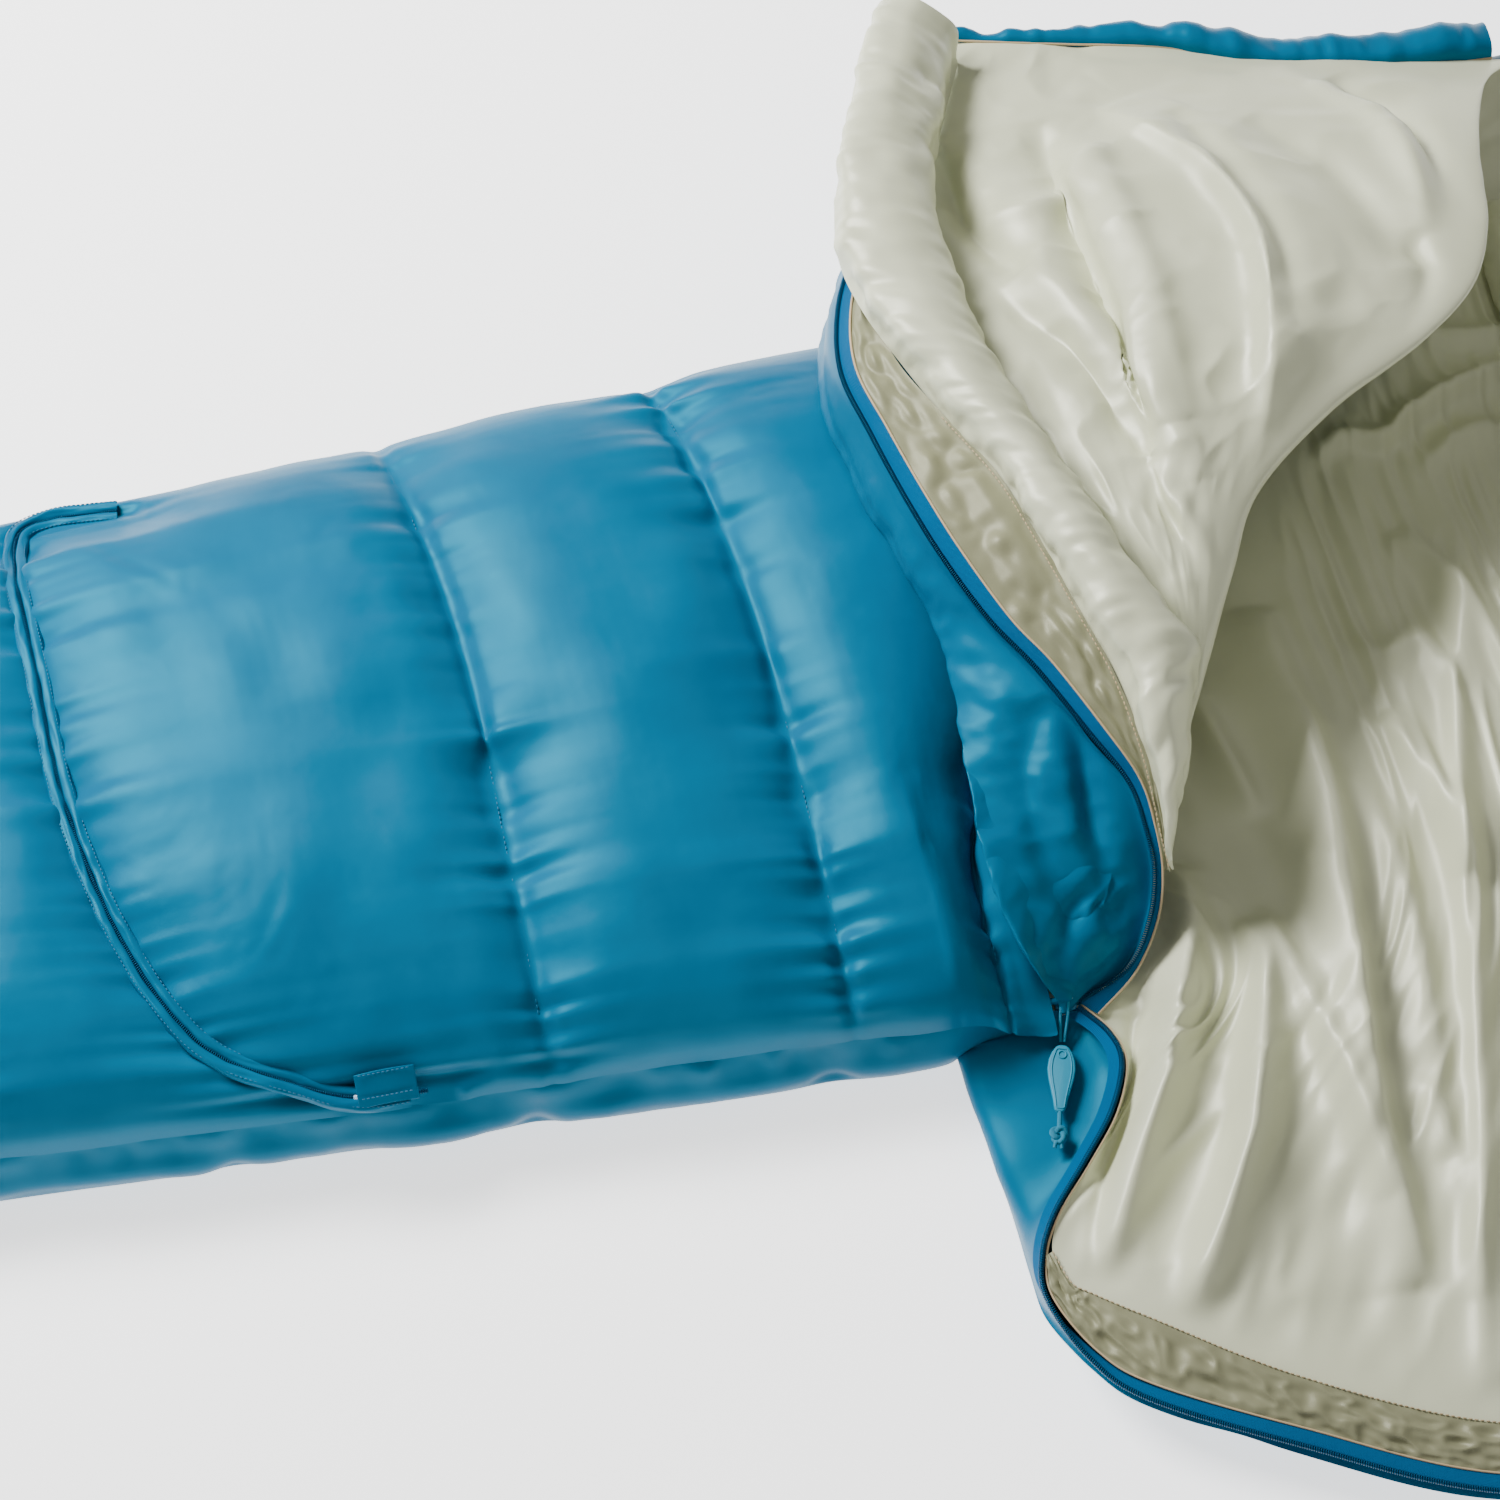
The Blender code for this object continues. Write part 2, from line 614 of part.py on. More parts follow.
def pull(pivot):
    """The cord loop in the bail, the soft grip and the knotted tail, drawn in the pivot's own frame."""
    over = BAIL_RADIUS + CORD_RADIUS + 2 * GAP
    drop = pivot_z - floor_in - GAP - PULL_THICK
    end = -LOOP_LENGTH
    clear = -TAPE_WIDTH - 5 * CORD_RADIUS
    above_tape = chain_z - pivot_z + TAPE / 2 + CORD_RADIUS + 2 * GAP
    loop = [(0, over + 0.0005, 0.0), (0, over * 0.7, -over * 0.8), (0, 0, -over), (0, clear, above_tape),
            (0, end + 0.0025, -drop + 0.0002), (0, end, -drop + 0.0016), (0, end + 0.0015, -drop + 0.0036),
            (0, clear, above_tape + 3.2 * CORD_RADIUS), (0, 0, over), (0, over * 0.7, over * 0.8)]
    tube("pull_cord_loop", loop, CORD_RADIUS, "cord", pivot, closed=True, local=True)
    start = end - CORD_RADIUS - GAP
    half = PULL_WIDTH / 2
    shape = [(0.34, 0.0), (0.62, -0.10), (0.96, -0.36), (0.98, -0.62), (0.70, -0.86), (0.30, -1.0)]
    side = [(half * a, start + PULL_LENGTH * b) for a, b in shape]
    outline = side + [(-px, py) for px, py in side[::-1]]
    low, high = -drop - PULL_THICK / 2, -drop + PULL_THICK / 2
    slab("pull_grip", outline, low, high, "cord", PULL_THICK * 0.3, pivot, True)
    tail = start - PULL_LENGTH - GAP
    rest = low + CORD_RADIUS
    line = [(0, tail, rest), (0, tail - TAIL_LENGTH, rest)]
    tube("pull_tail", line, CORD_RADIUS, "cord", pivot, local=True)
    turns = [math.pi * step / 8 for step in range(9)]
    outline = [(KNOT_RADIUS * math.sin(a), tail - TAIL_LENGTH - GAP - KNOT_RADIUS * (1 - math.cos(a)))
               for a in turns]
    outline += [(-px, py) for px, py in outline[-2:0:-1]]
    slab("pull_knot", outline, low, low + 1.6 * KNOT_RADIUS, "cord", KNOT_RADIUS * 0.5, pivot, True)


def build():
    for old in list(bpy.data.objects):
        bpy.data.objects.remove(old)
    bpy.context.scene.collection.children.link(collection)
    bpy.context.scene.collection.children.link(cutters)
    lower_layer()
    hood()
    side_walls()
    top_layer()
    extension_zip()
    axis = joint_frame("flap_fold_axis", (fold_start.x, fold_start.y, chain_z))
    flap(axis)
    main_zip(axis)
    frame = joint_frame("slider_axis", (slider_at.x, slider_at.y, chain_z))
    slider(frame)
    pivot = joint_frame("pull_axis", (slider_at.x, slider_at.y, pivot_z), frame)
    pivot.rotation_euler.z = math.radians(PULL_YAW)
    pull(pivot)


build()
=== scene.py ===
"""Looks for the open sleeping bag: quilted shell, turned-back flap, linings, zips and hood.

Metres, in the CAD's own frame: +X from foot to hood, the zip on the -Y side, the floor at z = 0.
"""

import math

import bpy
import numpy as np
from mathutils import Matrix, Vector


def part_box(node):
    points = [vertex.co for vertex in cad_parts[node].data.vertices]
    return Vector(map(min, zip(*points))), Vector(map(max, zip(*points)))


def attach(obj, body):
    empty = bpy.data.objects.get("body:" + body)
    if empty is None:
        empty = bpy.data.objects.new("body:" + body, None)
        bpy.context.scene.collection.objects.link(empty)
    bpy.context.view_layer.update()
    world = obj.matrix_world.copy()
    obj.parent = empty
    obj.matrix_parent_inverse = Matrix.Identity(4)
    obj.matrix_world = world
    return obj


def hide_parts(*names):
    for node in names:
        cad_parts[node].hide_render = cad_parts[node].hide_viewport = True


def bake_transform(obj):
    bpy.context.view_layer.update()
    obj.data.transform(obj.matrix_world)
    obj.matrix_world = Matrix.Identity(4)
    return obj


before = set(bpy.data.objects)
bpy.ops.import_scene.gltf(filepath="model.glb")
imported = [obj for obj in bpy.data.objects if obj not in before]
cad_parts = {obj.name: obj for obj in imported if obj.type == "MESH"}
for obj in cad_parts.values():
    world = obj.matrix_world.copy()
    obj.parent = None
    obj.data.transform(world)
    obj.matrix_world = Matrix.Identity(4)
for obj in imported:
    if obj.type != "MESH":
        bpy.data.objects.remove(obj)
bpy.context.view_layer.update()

# Places read from the frame

ZIP = np.array(sum(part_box("slider_body"), Vector()) / 2)     # middle of the main slider
FOOT_X, HEAD_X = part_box("bottom_shell")[0].x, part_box("bottom_shell")[1].x
NECK_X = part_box("hood_centre_panel")[0].x
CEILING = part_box("top_lining")[0].z
AXIS_Y = sum(corner.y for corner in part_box("top_chamber_foot")) / 2
FOOT_ROUND = 0.09        # corner radius at the foot
FOOT_HALF = 0.21         # half of the closed tube's width at the foot, and at the neck
NECK_HALF = 0.285
BACK_Y = 0.562           # nothing at the far side goes beyond this
LINING_LOW = 0.0345      # the linings of the lower half stay above this
SEAMS = (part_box("top_chamber_foot")[1].x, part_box("top_chamber_knee")[0].x,
         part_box("top_chamber_knee")[1].x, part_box("top_chamber_thigh")[1].x)


# Curves and grids

def catmull(points, count):
    """A smooth curve through points, as count evenly spaced points."""
    p = np.asarray(points, float)
    p = np.vstack([2 * p[0] - p[1], p, 2 * p[-1] - p[-2]])
    fine = []
    for a, b, c, d in zip(p, p[1:], p[2:], p[3:]):
        t = np.linspace(0, 1, 24, endpoint=False)[:, None]
        fine.append(0.5 * (2 * b + (c - a) * t + (2 * a - 5 * b + 4 * c - d) * t ** 2
                           + (3 * b - a - 3 * c + d) * t ** 3))
    fine = np.vstack(fine + [p[-2:-1]])
    return even(fine, count)


def even(line, count):
    """A fine polyline read at count evenly spaced points."""
    run = np.concatenate([[0], np.cumsum(np.linalg.norm(np.diff(line, axis=0), axis=1))])
    at = np.linspace(0, run[-1], count)
    return np.stack([np.interp(at, run, line[:, k]) for k in range(line.shape[1])], axis=1)


def near_zip(points):
    """Points in millimetres, from the slider in plan and from the floor in height, as metres in the frame."""
    return [(ZIP[0] + x / 1000, ZIP[1] + y / 1000, z / 1000) for x, y, z in points]


def normals(grid):
    """The unit normal at each point of a grid."""
    du = np.gradient(grid, axis=0)
    dv = np.gradient(grid, axis=1)
    n = np.cross(du, dv)
    return n / np.maximum(np.linalg.norm(n, axis=2, keepdims=True), 1e-9)


def lengths(grid):
    """Arc length along each of the grid's two directions, for the cloth's cut and its UVs."""
    du = np.linalg.norm(np.diff(grid, axis=0), axis=2)
    dv = np.linalg.norm(np.diff(grid, axis=1), axis=2)
    u = np.vstack([np.zeros((1, grid.shape[1])), np.cumsum(du, axis=0)])
    v = np.hstack([np.zeros((grid.shape[0], 1)), np.cumsum(dv, axis=1)])
    return u, v


def grid_object(name, grid, closed=False):
    """A mesh from a grid of points, with UVs in metres."""
    rows, columns = grid.shape[:2]
    ids = np.arange(rows * columns).reshape(rows, columns)
    if closed:
        ids = np.hstack([ids, ids[:, :1]])
    quads = np.stack([ids[:-1, :-1], ids[1:, :-1], ids[1:, 1:], ids[:-1, 1:]], axis=2).reshape(-1, 4)
    mesh = bpy.data.meshes.new(name)
    mesh.from_pydata(grid.reshape(-1, 3).tolist(), [], quads.tolist())
    layer = mesh.uv_layers.new(name="metres")
    flat = np.stack(lengths(grid), axis=2).reshape(-1, 2)
    layer.data.foreach_set("uv", flat[quads.reshape(-1)].astype(np.float32).reshape(-1))
    return placed(name, mesh)


def placed(name, mesh):
    mesh.shade_smooth()
    piece = bpy.data.objects.new(name, mesh)
    bpy.context.scene.collection.objects.link(piece)
    return piece


def dress(piece, material, body, replaces=(), subdivide=1):
    piece.data.materials.append(material)
    if subdivide:
        step = piece.modifiers.new("smooth", "SUBSURF")
        step.levels = step.render_levels = subdivide
    if isinstance(body, str):
        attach(piece, body)
    else:
        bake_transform(piece)
    if replaces:
        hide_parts(*replaces)
    return piece


def smoothstep(value, low, high):
    """0 below low, 1 above high, and a soft rise between them."""
    t = np.clip((value - low) / (high - low), 0, 1)
    return t * t * (3 - 2 * t)


def nearest(points, line):
    """Distance in plan from each point to a polyline, with the share of the line reached and the side."""
    line = np.asarray(line, float)[:, :2]
    p = points[..., :2].reshape(-1, 2)
    best = np.full(len(p), 1e9)
    share = np.zeros(len(p))
    side = np.ones(len(p))
    count = len(line) - 1
    for index in range(count):
        a, b = line[index], line[index + 1]
        run = b - a
        t = np.clip(((p - a) @ run) / max(run @ run, 1e-12), 0, 1)
        gap = p - (a + t[:, None] * run)
        d = np.hypot(gap[:, 0], gap[:, 1])
        closer = d < best
        best[closer] = d[closer]
        share[closer] = (index + t[closer]) / count
        side[closer] = np.sign(run[0] * gap[closer, 1] - run[1] * gap[closer, 0])
    shape = points.shape[:-1]
    return best.reshape(shape), share.reshape(shape), side.reshape(shape)


def fold(grid, line, height, left, right, direction=None):
    """Raise a soft fold along a line in plan. left and right are its two widths; it fades at its ends."""
    line = catmull(line, 40)
    d, share, side = nearest(grid, line)
    width = np.where(side > 0, left, right)
    body = 1 / (1 + (d / width) ** 2) ** 1.5
    fade = np.sin(np.pi * np.clip(share, 0.0, 1.0)) ** 0.6
    if direction is None:
        way = normals(grid)
        way = way * np.sign(way[..., 2:3] + 1e-9)
        way = way * smoothstep(way[..., 2:3], 0.2, 0.7)
    else:
        way = np.array(direction, float)
    return grid + (height * body * fade)[..., None] * way


def in_plan(line):
    return near_zip([(x, y, 0) for x, y in line])


def folds(grid, table, tall=1.0, left_share=1.0, right_share=1.0, direction=None):
    """All folds of a table: line from the slider in plan, height, width on the left and on the right, in mm."""
    for line, height, left, right in table:
        grid = fold(grid, in_plan(line), height / 1000 * tall, left / 1000 * left_share,
                    right / 1000 * right_share, direction)
    return grid


def puffed(grid, amount):
    """The grid moved along its normals by an amount at each point."""
    return grid + normals(grid) * amount[..., None]


def noise(seed, shape, cells, octaves=1):
    """Smooth seeded noise over a grid, about -1 to 1; cells is its count of bumps each way."""
    rng = np.random.default_rng(seed)
    total = np.zeros(shape)
    for octave in range(octaves):
        nu, nv = int(cells[0] * 2 ** octave) + 3, int(cells[1] * 2 ** octave) + 3
        knots = rng.uniform(-1, 1, (nu, nv))
        u = np.linspace(0, nu - 1.001, shape[0])
        v = np.linspace(0, nv - 1.001, shape[1])
        iu, iv = u.astype(int), v.astype(int)
        fu, fv = u - iu, v - iv
        fu, fv = (fu * fu * (3 - 2 * fu))[:, None], (fv * fv * (3 - 2 * fv))[None, :]
        a = knots[np.ix_(iu, iv)] * (1 - fu) + knots[np.ix_(iu + 1, iv)] * fu
        b = knots[np.ix_(iu, iv + 1)] * (1 - fu) + knots[np.ix_(iu + 1, iv + 1)] * fu
        total += (a * (1 - fv) + b * fv) / 2 ** octave
    return total


STIFFNESS = 15.0         # of the cloth against stretch; a third of it against shear
BENDING = 0.05


def drape(name, grid, pinned, cut, pressure, frames, cap):
    """Let a grid of cloth, cut larger than its place by two factors, wrinkle between its pinned points."""
    piece = grid_object(name, grid)
    rows, columns = grid.shape[:2]
    u, v = lengths(grid)
    piece.shape_key_add(name="place")
    rest = piece.shape_key_add(name="cut")
    flat = np.stack([u * cut[0], v * cut[1], np.zeros_like(u)], axis=2)
    rest.data.foreach_set("co", flat.astype(np.float32).reshape(-1))
    group = piece.vertex_groups.new(name="pinned")
    group.add(np.nonzero(pinned.reshape(-1))[0].tolist(), 1.0, "REPLACE")
    cloth = piece.modifiers.new("cloth", "CLOTH")
    settings = cloth.settings
    for key, value in dict(vertex_group_mass="pinned", rest_shape_key=rest, quality=4, mass=0.15,
                           tension_stiffness=STIFFNESS, compression_stiffness=STIFFNESS,
                           shear_stiffness=STIFFNESS / 3, bending_stiffness=BENDING, tension_damping=5,
                           compression_damping=5, air_damping=2, use_pressure=True,
                           uniform_pressure_force=pressure).items():
        setattr(settings, key, value)
    settings.effector_weights.gravity = 0
    cloth.collision_settings.use_collision = False
    cloth.point_cache.frame_start, cloth.point_cache.frame_end = 1, frames
    scene = bpy.context.scene
    for number in range(1, frames + 1):
        scene.frame_set(number)
    result = piece.evaluated_get(bpy.context.evaluated_depsgraph_get())
    co = np.zeros(rows * columns * 3, np.float32)
    result.data.vertices.foreach_get("co", co)
    moved = co.reshape(rows, columns, 3).astype(float) - grid
    scene.frame_set(1)
    mesh = piece.data
    bpy.data.objects.remove(piece)
    bpy.data.meshes.remove(mesh)
    size = np.linalg.norm(moved, axis=2, keepdims=True)
    return grid + moved * np.minimum(1, cap / np.maximum(size, 1e-9))


# Fabrics

def shader_material(name, rough, specular=0.5, tint=(1, 1, 1)):
    material = bpy.data.materials.new(name)
    material.use_nodes = True
    nodes = material.node_tree.nodes
    shader = nodes["Principled BSDF"]
    shader.inputs["Roughness"].default_value = rough
    shader.inputs["Specular IOR Level"].default_value = specular
    shader.inputs["Specular Tint"].default_value = (*tint, 1)
    return material, nodes, material.node_tree.links, shader


def add(nodes, kind, **values):
    """A node of a kind, with its properties and its inputs' values set by name."""
    node = nodes.new("ShaderNode" + kind)
    for key, value in values.items():
        if key in node.inputs:
            node.inputs[key].default_value = value
        else:
            setattr(node, key, value)
    return node


WAVE_SCALE = 0.314       # bands of a wave texture: its scale for one thread per metre


def fabric(name, dark, light, rough, thread=0.0005, grain=0.12, slub=0.0006, specular=0.5, tint=(1, 1, 1)):
    """A satin weave: slow colour drift, fine threads as bump, and a soft crumple between folds.

    thread is the weave's pitch, grain its depth, and slub the crumple's depth.
    """
    material, nodes, links, shader = shader_material(name, rough, specular, tint)
    uv = nodes.new("ShaderNodeUVMap")
    uv.uv_map = "metres"
    place = nodes.new("ShaderNodeTexCoord")
    drift = add(nodes, "TexNoise", Scale=9.0, Detail=4.0, Roughness=0.55)
    links.new(place.outputs["Object"], drift.inputs["Vector"])
    ramp = nodes.new("ShaderNodeValToRGB")
    ramp.color_ramp.elements[0].position, ramp.color_ramp.elements[1].position = 0.3, 0.7
    ramp.color_ramp.elements[0].color = (*dark, 1)
    ramp.color_ramp.elements[1].color = (*light, 1)
    links.new(drift.outputs["Fac"], ramp.inputs["Fac"])
    links.new(ramp.outputs["Color"], shader.inputs["Base Color"])
    waves = []
    for axis in ("X", "Y"):
        wave = nodes.new("ShaderNodeTexWave")
        wave.bands_direction = axis
        wave.inputs["Scale"].default_value = WAVE_SCALE / thread
        wave.inputs["Distortion"].default_value = 0.6
        links.new(uv.outputs["UV"], wave.inputs["Vector"])
        waves.append(wave)
    weave = add(nodes, "Math", operation="MULTIPLY")
    links.new(waves[0].outputs["Fac"], weave.inputs[0])
    links.new(waves[1].outputs["Fac"], weave.inputs[1])
    fine = add(nodes, "Bump", Strength=grain, Distance=thread)
    links.new(weave.outputs["Value"], fine.inputs["Height"])
    crumple = add(nodes, "TexNoise", Scale=26.0, Detail=2.0, Roughness=0.5, Distortion=0.4)
    links.new(place.outputs["Object"], crumple.inputs["Vector"])
    soft = add(nodes, "Bump", Strength=0.20, Distance=slub * 4)
    links.new(crumple.outputs["Fac"], soft.inputs["Height"])
    links.new(fine.outputs["Normal"], soft.inputs["Normal"])
    links.new(soft.outputs["Normal"], shader.inputs["Normal"])
    spread = add(nodes, "MapRange", **{"From Min": 0.3, "From Max": 0.7, "To Min": rough - 0.05,
                                       "To Max": rough + 0.06})
    links.new(drift.outputs["Fac"], spread.inputs["Value"])
    links.new(spread.outputs["Result"], shader.inputs["Roughness"])
    return material


SHELL = fabric("shell_satin", (0.0, 0.095, 0.195), (0.0, 0.127, 0.248), 0.38, specular=0.34,
               tint=(0.0, 0.70, 0.90))
LINING = fabric("lining_satin", (0.58, 0.60, 0.42), (0.66, 0.68, 0.49), 0.36, specular=0.8,
                tint=(1.0, 1.0, 0.88))
FACING = fabric("facing_taffeta", (0.20, 0.20, 0.12), (0.25, 0.25, 0.15), 0.40, slub=0.0010, specular=0.45,
                tint=(1.0, 1.0, 0.8))
TAPE = fabric("zip_tape_weave", (0.0, 0.075, 0.20), (0.0, 0.10, 0.25), 0.60, thread=0.0009, grain=0.5,
              slub=0.0001, specular=0.4, tint=(0.1, 0.55, 0.85))
PIPING = fabric("tan_stitching", (0.42, 0.31, 0.17), (0.52, 0.40, 0.24), 0.6, slub=0.0001)
COIL = fabric("coil_nylon", (0.0, 0.030, 0.085), (0.0, 0.050, 0.12), 0.38, slub=0.0, specular=0.5,
              tint=(0.2, 0.7, 1.0))
THREAD = fabric("shell_thread", (0.0, 0.10, 0.20), (0.0, 0.14, 0.27), 0.6, slub=0.0)
CORD = fabric("pull_cord_braid", (0.0, 0.17, 0.30), (0.0, 0.24, 0.38), 0.6, thread=0.0008, grain=0.6,
              slub=0.0)
GRIP = fabric("pull_grip_rubber", (0.0, 0.20, 0.33), (0.0, 0.25, 0.39), 0.45, slub=0.0001)
METAL = fabric("slider_enamel", (0.01, 0.16, 0.30), (0.02, 0.21, 0.38), 0.28, slub=0.0, specular=0.8)


# Camera, light and floor

TARGET = Vector((-0.085, 0.02, 0.08))
AZIMUTH, ELEVATION = math.radians(-12), math.radians(60)
LENS = 85                # millimetres, on a 36 mm sensor
SENSOR = 36
VIEW_WIDTH = 0.95        # metres across the picture at the target


def make_camera():
    data = bpy.data.cameras.new("camera")
    camera = bpy.data.objects.new("camera", data)
    bpy.context.scene.collection.objects.link(camera)
    data.lens, data.sensor_width = LENS, SENSOR
    back = Vector((math.sin(AZIMUTH) * math.cos(ELEVATION), -math.cos(AZIMUTH) * math.cos(ELEVATION),
                   math.sin(ELEVATION)))
    camera.location = TARGET + back * (VIEW_WIDTH * LENS / SENSOR)
    camera.rotation_mode = "QUATERNION"
    camera.rotation_quaternion = (-back).to_track_quat("-Z", "Y")
    bpy.context.scene.camera = camera


def area_light(name, place, aim, size, power):
    data = bpy.data.lights.new(name, "AREA")
    data.shape, data.size, data.size_y = "RECTANGLE", size[0], size[1]
    data.energy = power
    lamp = bpy.data.objects.new(name, data)
    bpy.context.scene.collection.objects.link(lamp)
    lamp.location = place
    lamp.rotation_mode = "QUATERNION"
    lamp.rotation_quaternion = (Vector(aim) - Vector(place)).to_track_quat("-Z", "Y")


def make_studio():
    world = bpy.data.worlds.new("studio")
    world.use_nodes = True
    sky = world.node_tree.nodes["Background"].inputs
    sky["Color"].default_value, sky["Strength"].default_value = (1.0, 1.0, 0.97, 1), 0.30
    bpy.context.scene.world = world
    area_light("key", (-1.3, 1.3, 1.9), (0.0, 0.05, 0.08), (1.2, 0.8), 138)
    area_light("fill", (-0.4, -2.4, 1.6), (0, 0, 0.05), (2.2, 1.2), 6)
    bpy.ops.mesh.primitive_plane_add(size=80, location=(0, 0, -0.0005))
    floor = bpy.context.object
    floor.name = "floor"
    material, _, _, shader = shader_material("floor_paper", 0.9)
    shader.inputs["Base Color"].default_value = (0.95, 0.95, 0.95, 1)
    shader.inputs["Emission Color"].default_value = (1, 1, 1, 1)
    shader.inputs["Emission Strength"].default_value = 1.5
    floor.data.materials.append(material)


make_camera()
make_studio()


# A. The closed tube

SEAM_Z = 0.055          # the seam between the top layer and the side strip
CROWN_Z = 0.126
SEAM_DROP = 0.020       # how far quilting pulls the top down
CELL = 0.0048           # the tube's grid pitch along the bag
REACH_X = ZIP[0] + 0.13     # the tube's last row, before it is drawn back to its mouth
MOUTH = ZIP[:2] + np.array([(-0.006, 0.000), (-0.008, 0.020), (-0.014, 0.044), (-0.010, 0.090), (0.016, 0.140),
                            (0.050, 0.180), (0.085, 0.215), (0.120, 0.250), (0.156, 0.290), (0.197, 0.325),
                            (0.245, 0.352), (0.290, 0.385), (0.340, 0.430), (0.372, 0.480), (0.402, 0.530),
                            (0.427, 0.577)])     # the tube's open end, from the slider to the far side


def mouth_x(y):
    return np.interp(y, MOUTH[:, 1], MOUTH[:, 0])


def half_width(x):
    share = (x - FOOT_X) / (NECK_X - FOOT_X)
    half = FOOT_HALF + (NECK_HALF - FOOT_HALF) * share
    inset = np.clip((FOOT_ROUND - (x - FOOT_X)) / FOOT_ROUND, 0, 1)
    return half - FOOT_ROUND * (1 - np.sqrt(1 - inset ** 2))


def seam_slant(w):
    """How far a quilting seam strays along the bag, from the near side (w = -1) to the far one."""
    return 0.014 - 0.035 * np.clip((w + 0.2) / 1.2, 0, 1) ** 2


RING = catmull([(ZIP[0] + x, ZIP[1] + y) for x, y in (     # the extension zip's line round the lower leg
    (-0.517, 0.458), (-0.582, 0.460), (-0.597, 0.429), (-0.591, 0.334), (-0.583, 0.226), (-0.560, 0.128),
    (-0.524, 0.058), (-0.470, 0.027), (-0.436, 0.015), (-0.380, 0.012))], 120)


def tube_height(x, y, w, x_even):
    """Height of the tube's top before the cloth settles."""
    profile = np.sqrt(np.clip(1 - np.abs(w) ** 3.2, 0, 1))
    gap = np.full(x.shape, 0.16)
    for seam in SEAMS:
        gap = np.minimum(gap, np.abs(x_even - seam))
    ring_gap, _, _ = nearest(np.stack([x, y], axis=-1), RING)
    gap = np.minimum(gap, ring_gap)
    puff = 1 - (1 - np.clip(gap / 0.085, 0, 1)) ** 2.6
    end = np.sqrt(np.clip(1 - np.clip((0.10 - (x - FOOT_X)) / 0.10, 0, 1) ** 2, 0, 1))
    crown = CROWN_Z - SEAM_DROP * (1 - puff) - 0.022 * smoothstep(x_even, ZIP[0] - 0.10, ZIP[0] + 0.03)
    dip = 0.030 * np.exp(-((x - ZIP[0]) ** 2 + (y - ZIP[1]) ** 2) / 0.035 ** 2)
    return np.maximum(SEAM_Z + (crown - SEAM_Z) * profile * end - dip, 0.042)


def tube_grid():
    """Rows from foot to fold line, columns from the near seam over the top to the far seam."""
    knee = ZIP[0] - 0.09
    rows = np.arange(FOOT_X + 0.0005, REACH_X, CELL)
    columns = 128
    turn = np.linspace(-1, 1, columns)
    w = np.sin(turn * math.pi / 2 * 0.86) / math.sin(math.pi / 2 * 0.86)
    w = 0.55 * w + 0.45 * turn
    x_even = np.repeat(rows[:, None], columns, axis=1)
    warp = smoothstep(x_even, FOOT_X + 0.05, FOOT_X + 0.25)
    x = x_even + seam_slant(w)[None, :] * warp
    y = AXIS_Y + half_width(x_even) * w[None, :]
    fold_x = mouth_x(y)
    beyond = np.clip((x_even - knee) / (REACH_X - knee), 0, 1)
    edge_x = knee + seam_slant(w)[None, :]
    x = np.where(x_even > knee, edge_x + (fold_x - 0.004 - edge_x) * beyond, x)
    z = tube_height(x, y, np.repeat(w[None, :], len(rows), axis=0), x_even)
    return np.stack([x, y, z], axis=2), x_even


def tube_shell():
    """The quilted top of the closed tube: puffed cloth, gathered along its seams, with their thread."""
    grid, x_even = tube_grid()
    pinned = np.zeros(grid.shape[:2])
    for seam in SEAMS:
        pinned[np.abs(x_even - seam) < CELL / 2] = 1
    ring_gap, _, _ = nearest(grid, RING)
    pinned[ring_gap < CELL * 0.6] = 1
    pinned[:, 0] = pinned[:, -1] = 1
    pinned[0] = pinned[-1] = 1
    pinned[x_even > ZIP[0] + 0.035] = 1
    grid = drape("tube_cloth", grid, pinned, cut=(1.02, 1.09), pressure=1.0, frames=26, cap=0.022)
    gap = np.min([np.abs(x_even - seam) for seam in SEAMS], axis=0)
    both = np.minimum(gap, ring_gap)
    patchy = 0.55 + 0.45 * noise(6, grid.shape[:2], (5, 9), 2)
    ruffled = gathers(grid, both, 5, 0.012, 0.0085, 0.020, 1)
    grid = grid + (ruffled - grid) * patchy[..., None]
    grid = puffed(grid, -0.0026 * np.exp(-(both / 0.0045) ** 2))
    dents = noise(7, grid.shape[:2], (15, 5), 2) * 0.0020 * smoothstep(both, 0.008, 0.04)
    grid = puffed(grid, dents)
    for index, seam in enumerate(SEAMS):
        row = int(np.abs(x_even[:, 0] - seam).argmin())
        line = [tuple(p) for p in grid[row, 4:-4:4] + np.array((0, 0, 0.0004))]
        stitches(f"quilting_stitches_{index}", line, THREAD, "bag", pitch=0.0036)
    piece = grid_object("tube_shell", grid)
    dress(piece, SHELL, "bag",
          [f"top_chamber_{n}" for n in ("foot", "shin", "calf", "knee", "thigh", "hip")])
    return grid


# B. The flap

FOLD_BLEND = ("bag", "flap", (0.30, 0.10, 0.070), (0.235, 0.15, 0.150))

COIL_LINE = near_zip([
    (8, -1, 43.5), (42, 10, 55), (59, 30, 75), (66, 52, 95),
    (64, 71, 115), (58, 95, 135), (40, 125, 150), (17, 172, 160),
    (-4, 209, 165), (-22, 255, 170), (-35, 303, 172), (-46, 355, 174),
    (-54, 407, 174), (-43, 461, 170), (-18, 516, 160), (14, 588, 146),
    (40, 650, 134)])
TAN_LINE = near_zip([
    (18, -12, 43), (46, 7, 52), (64, 29, 72), (71, 51, 95),
    (69, 71, 120), (63, 93, 142), (47, 124, 158), (26, 169, 168),
    (8, 202, 172), (-11, 253, 177), (-24, 300, 179), (-36, 352, 181),
    (-45, 404, 180), (-35, 458, 174), (-10, 512, 164), (22, 584, 150),
    (48, 646, 138)])
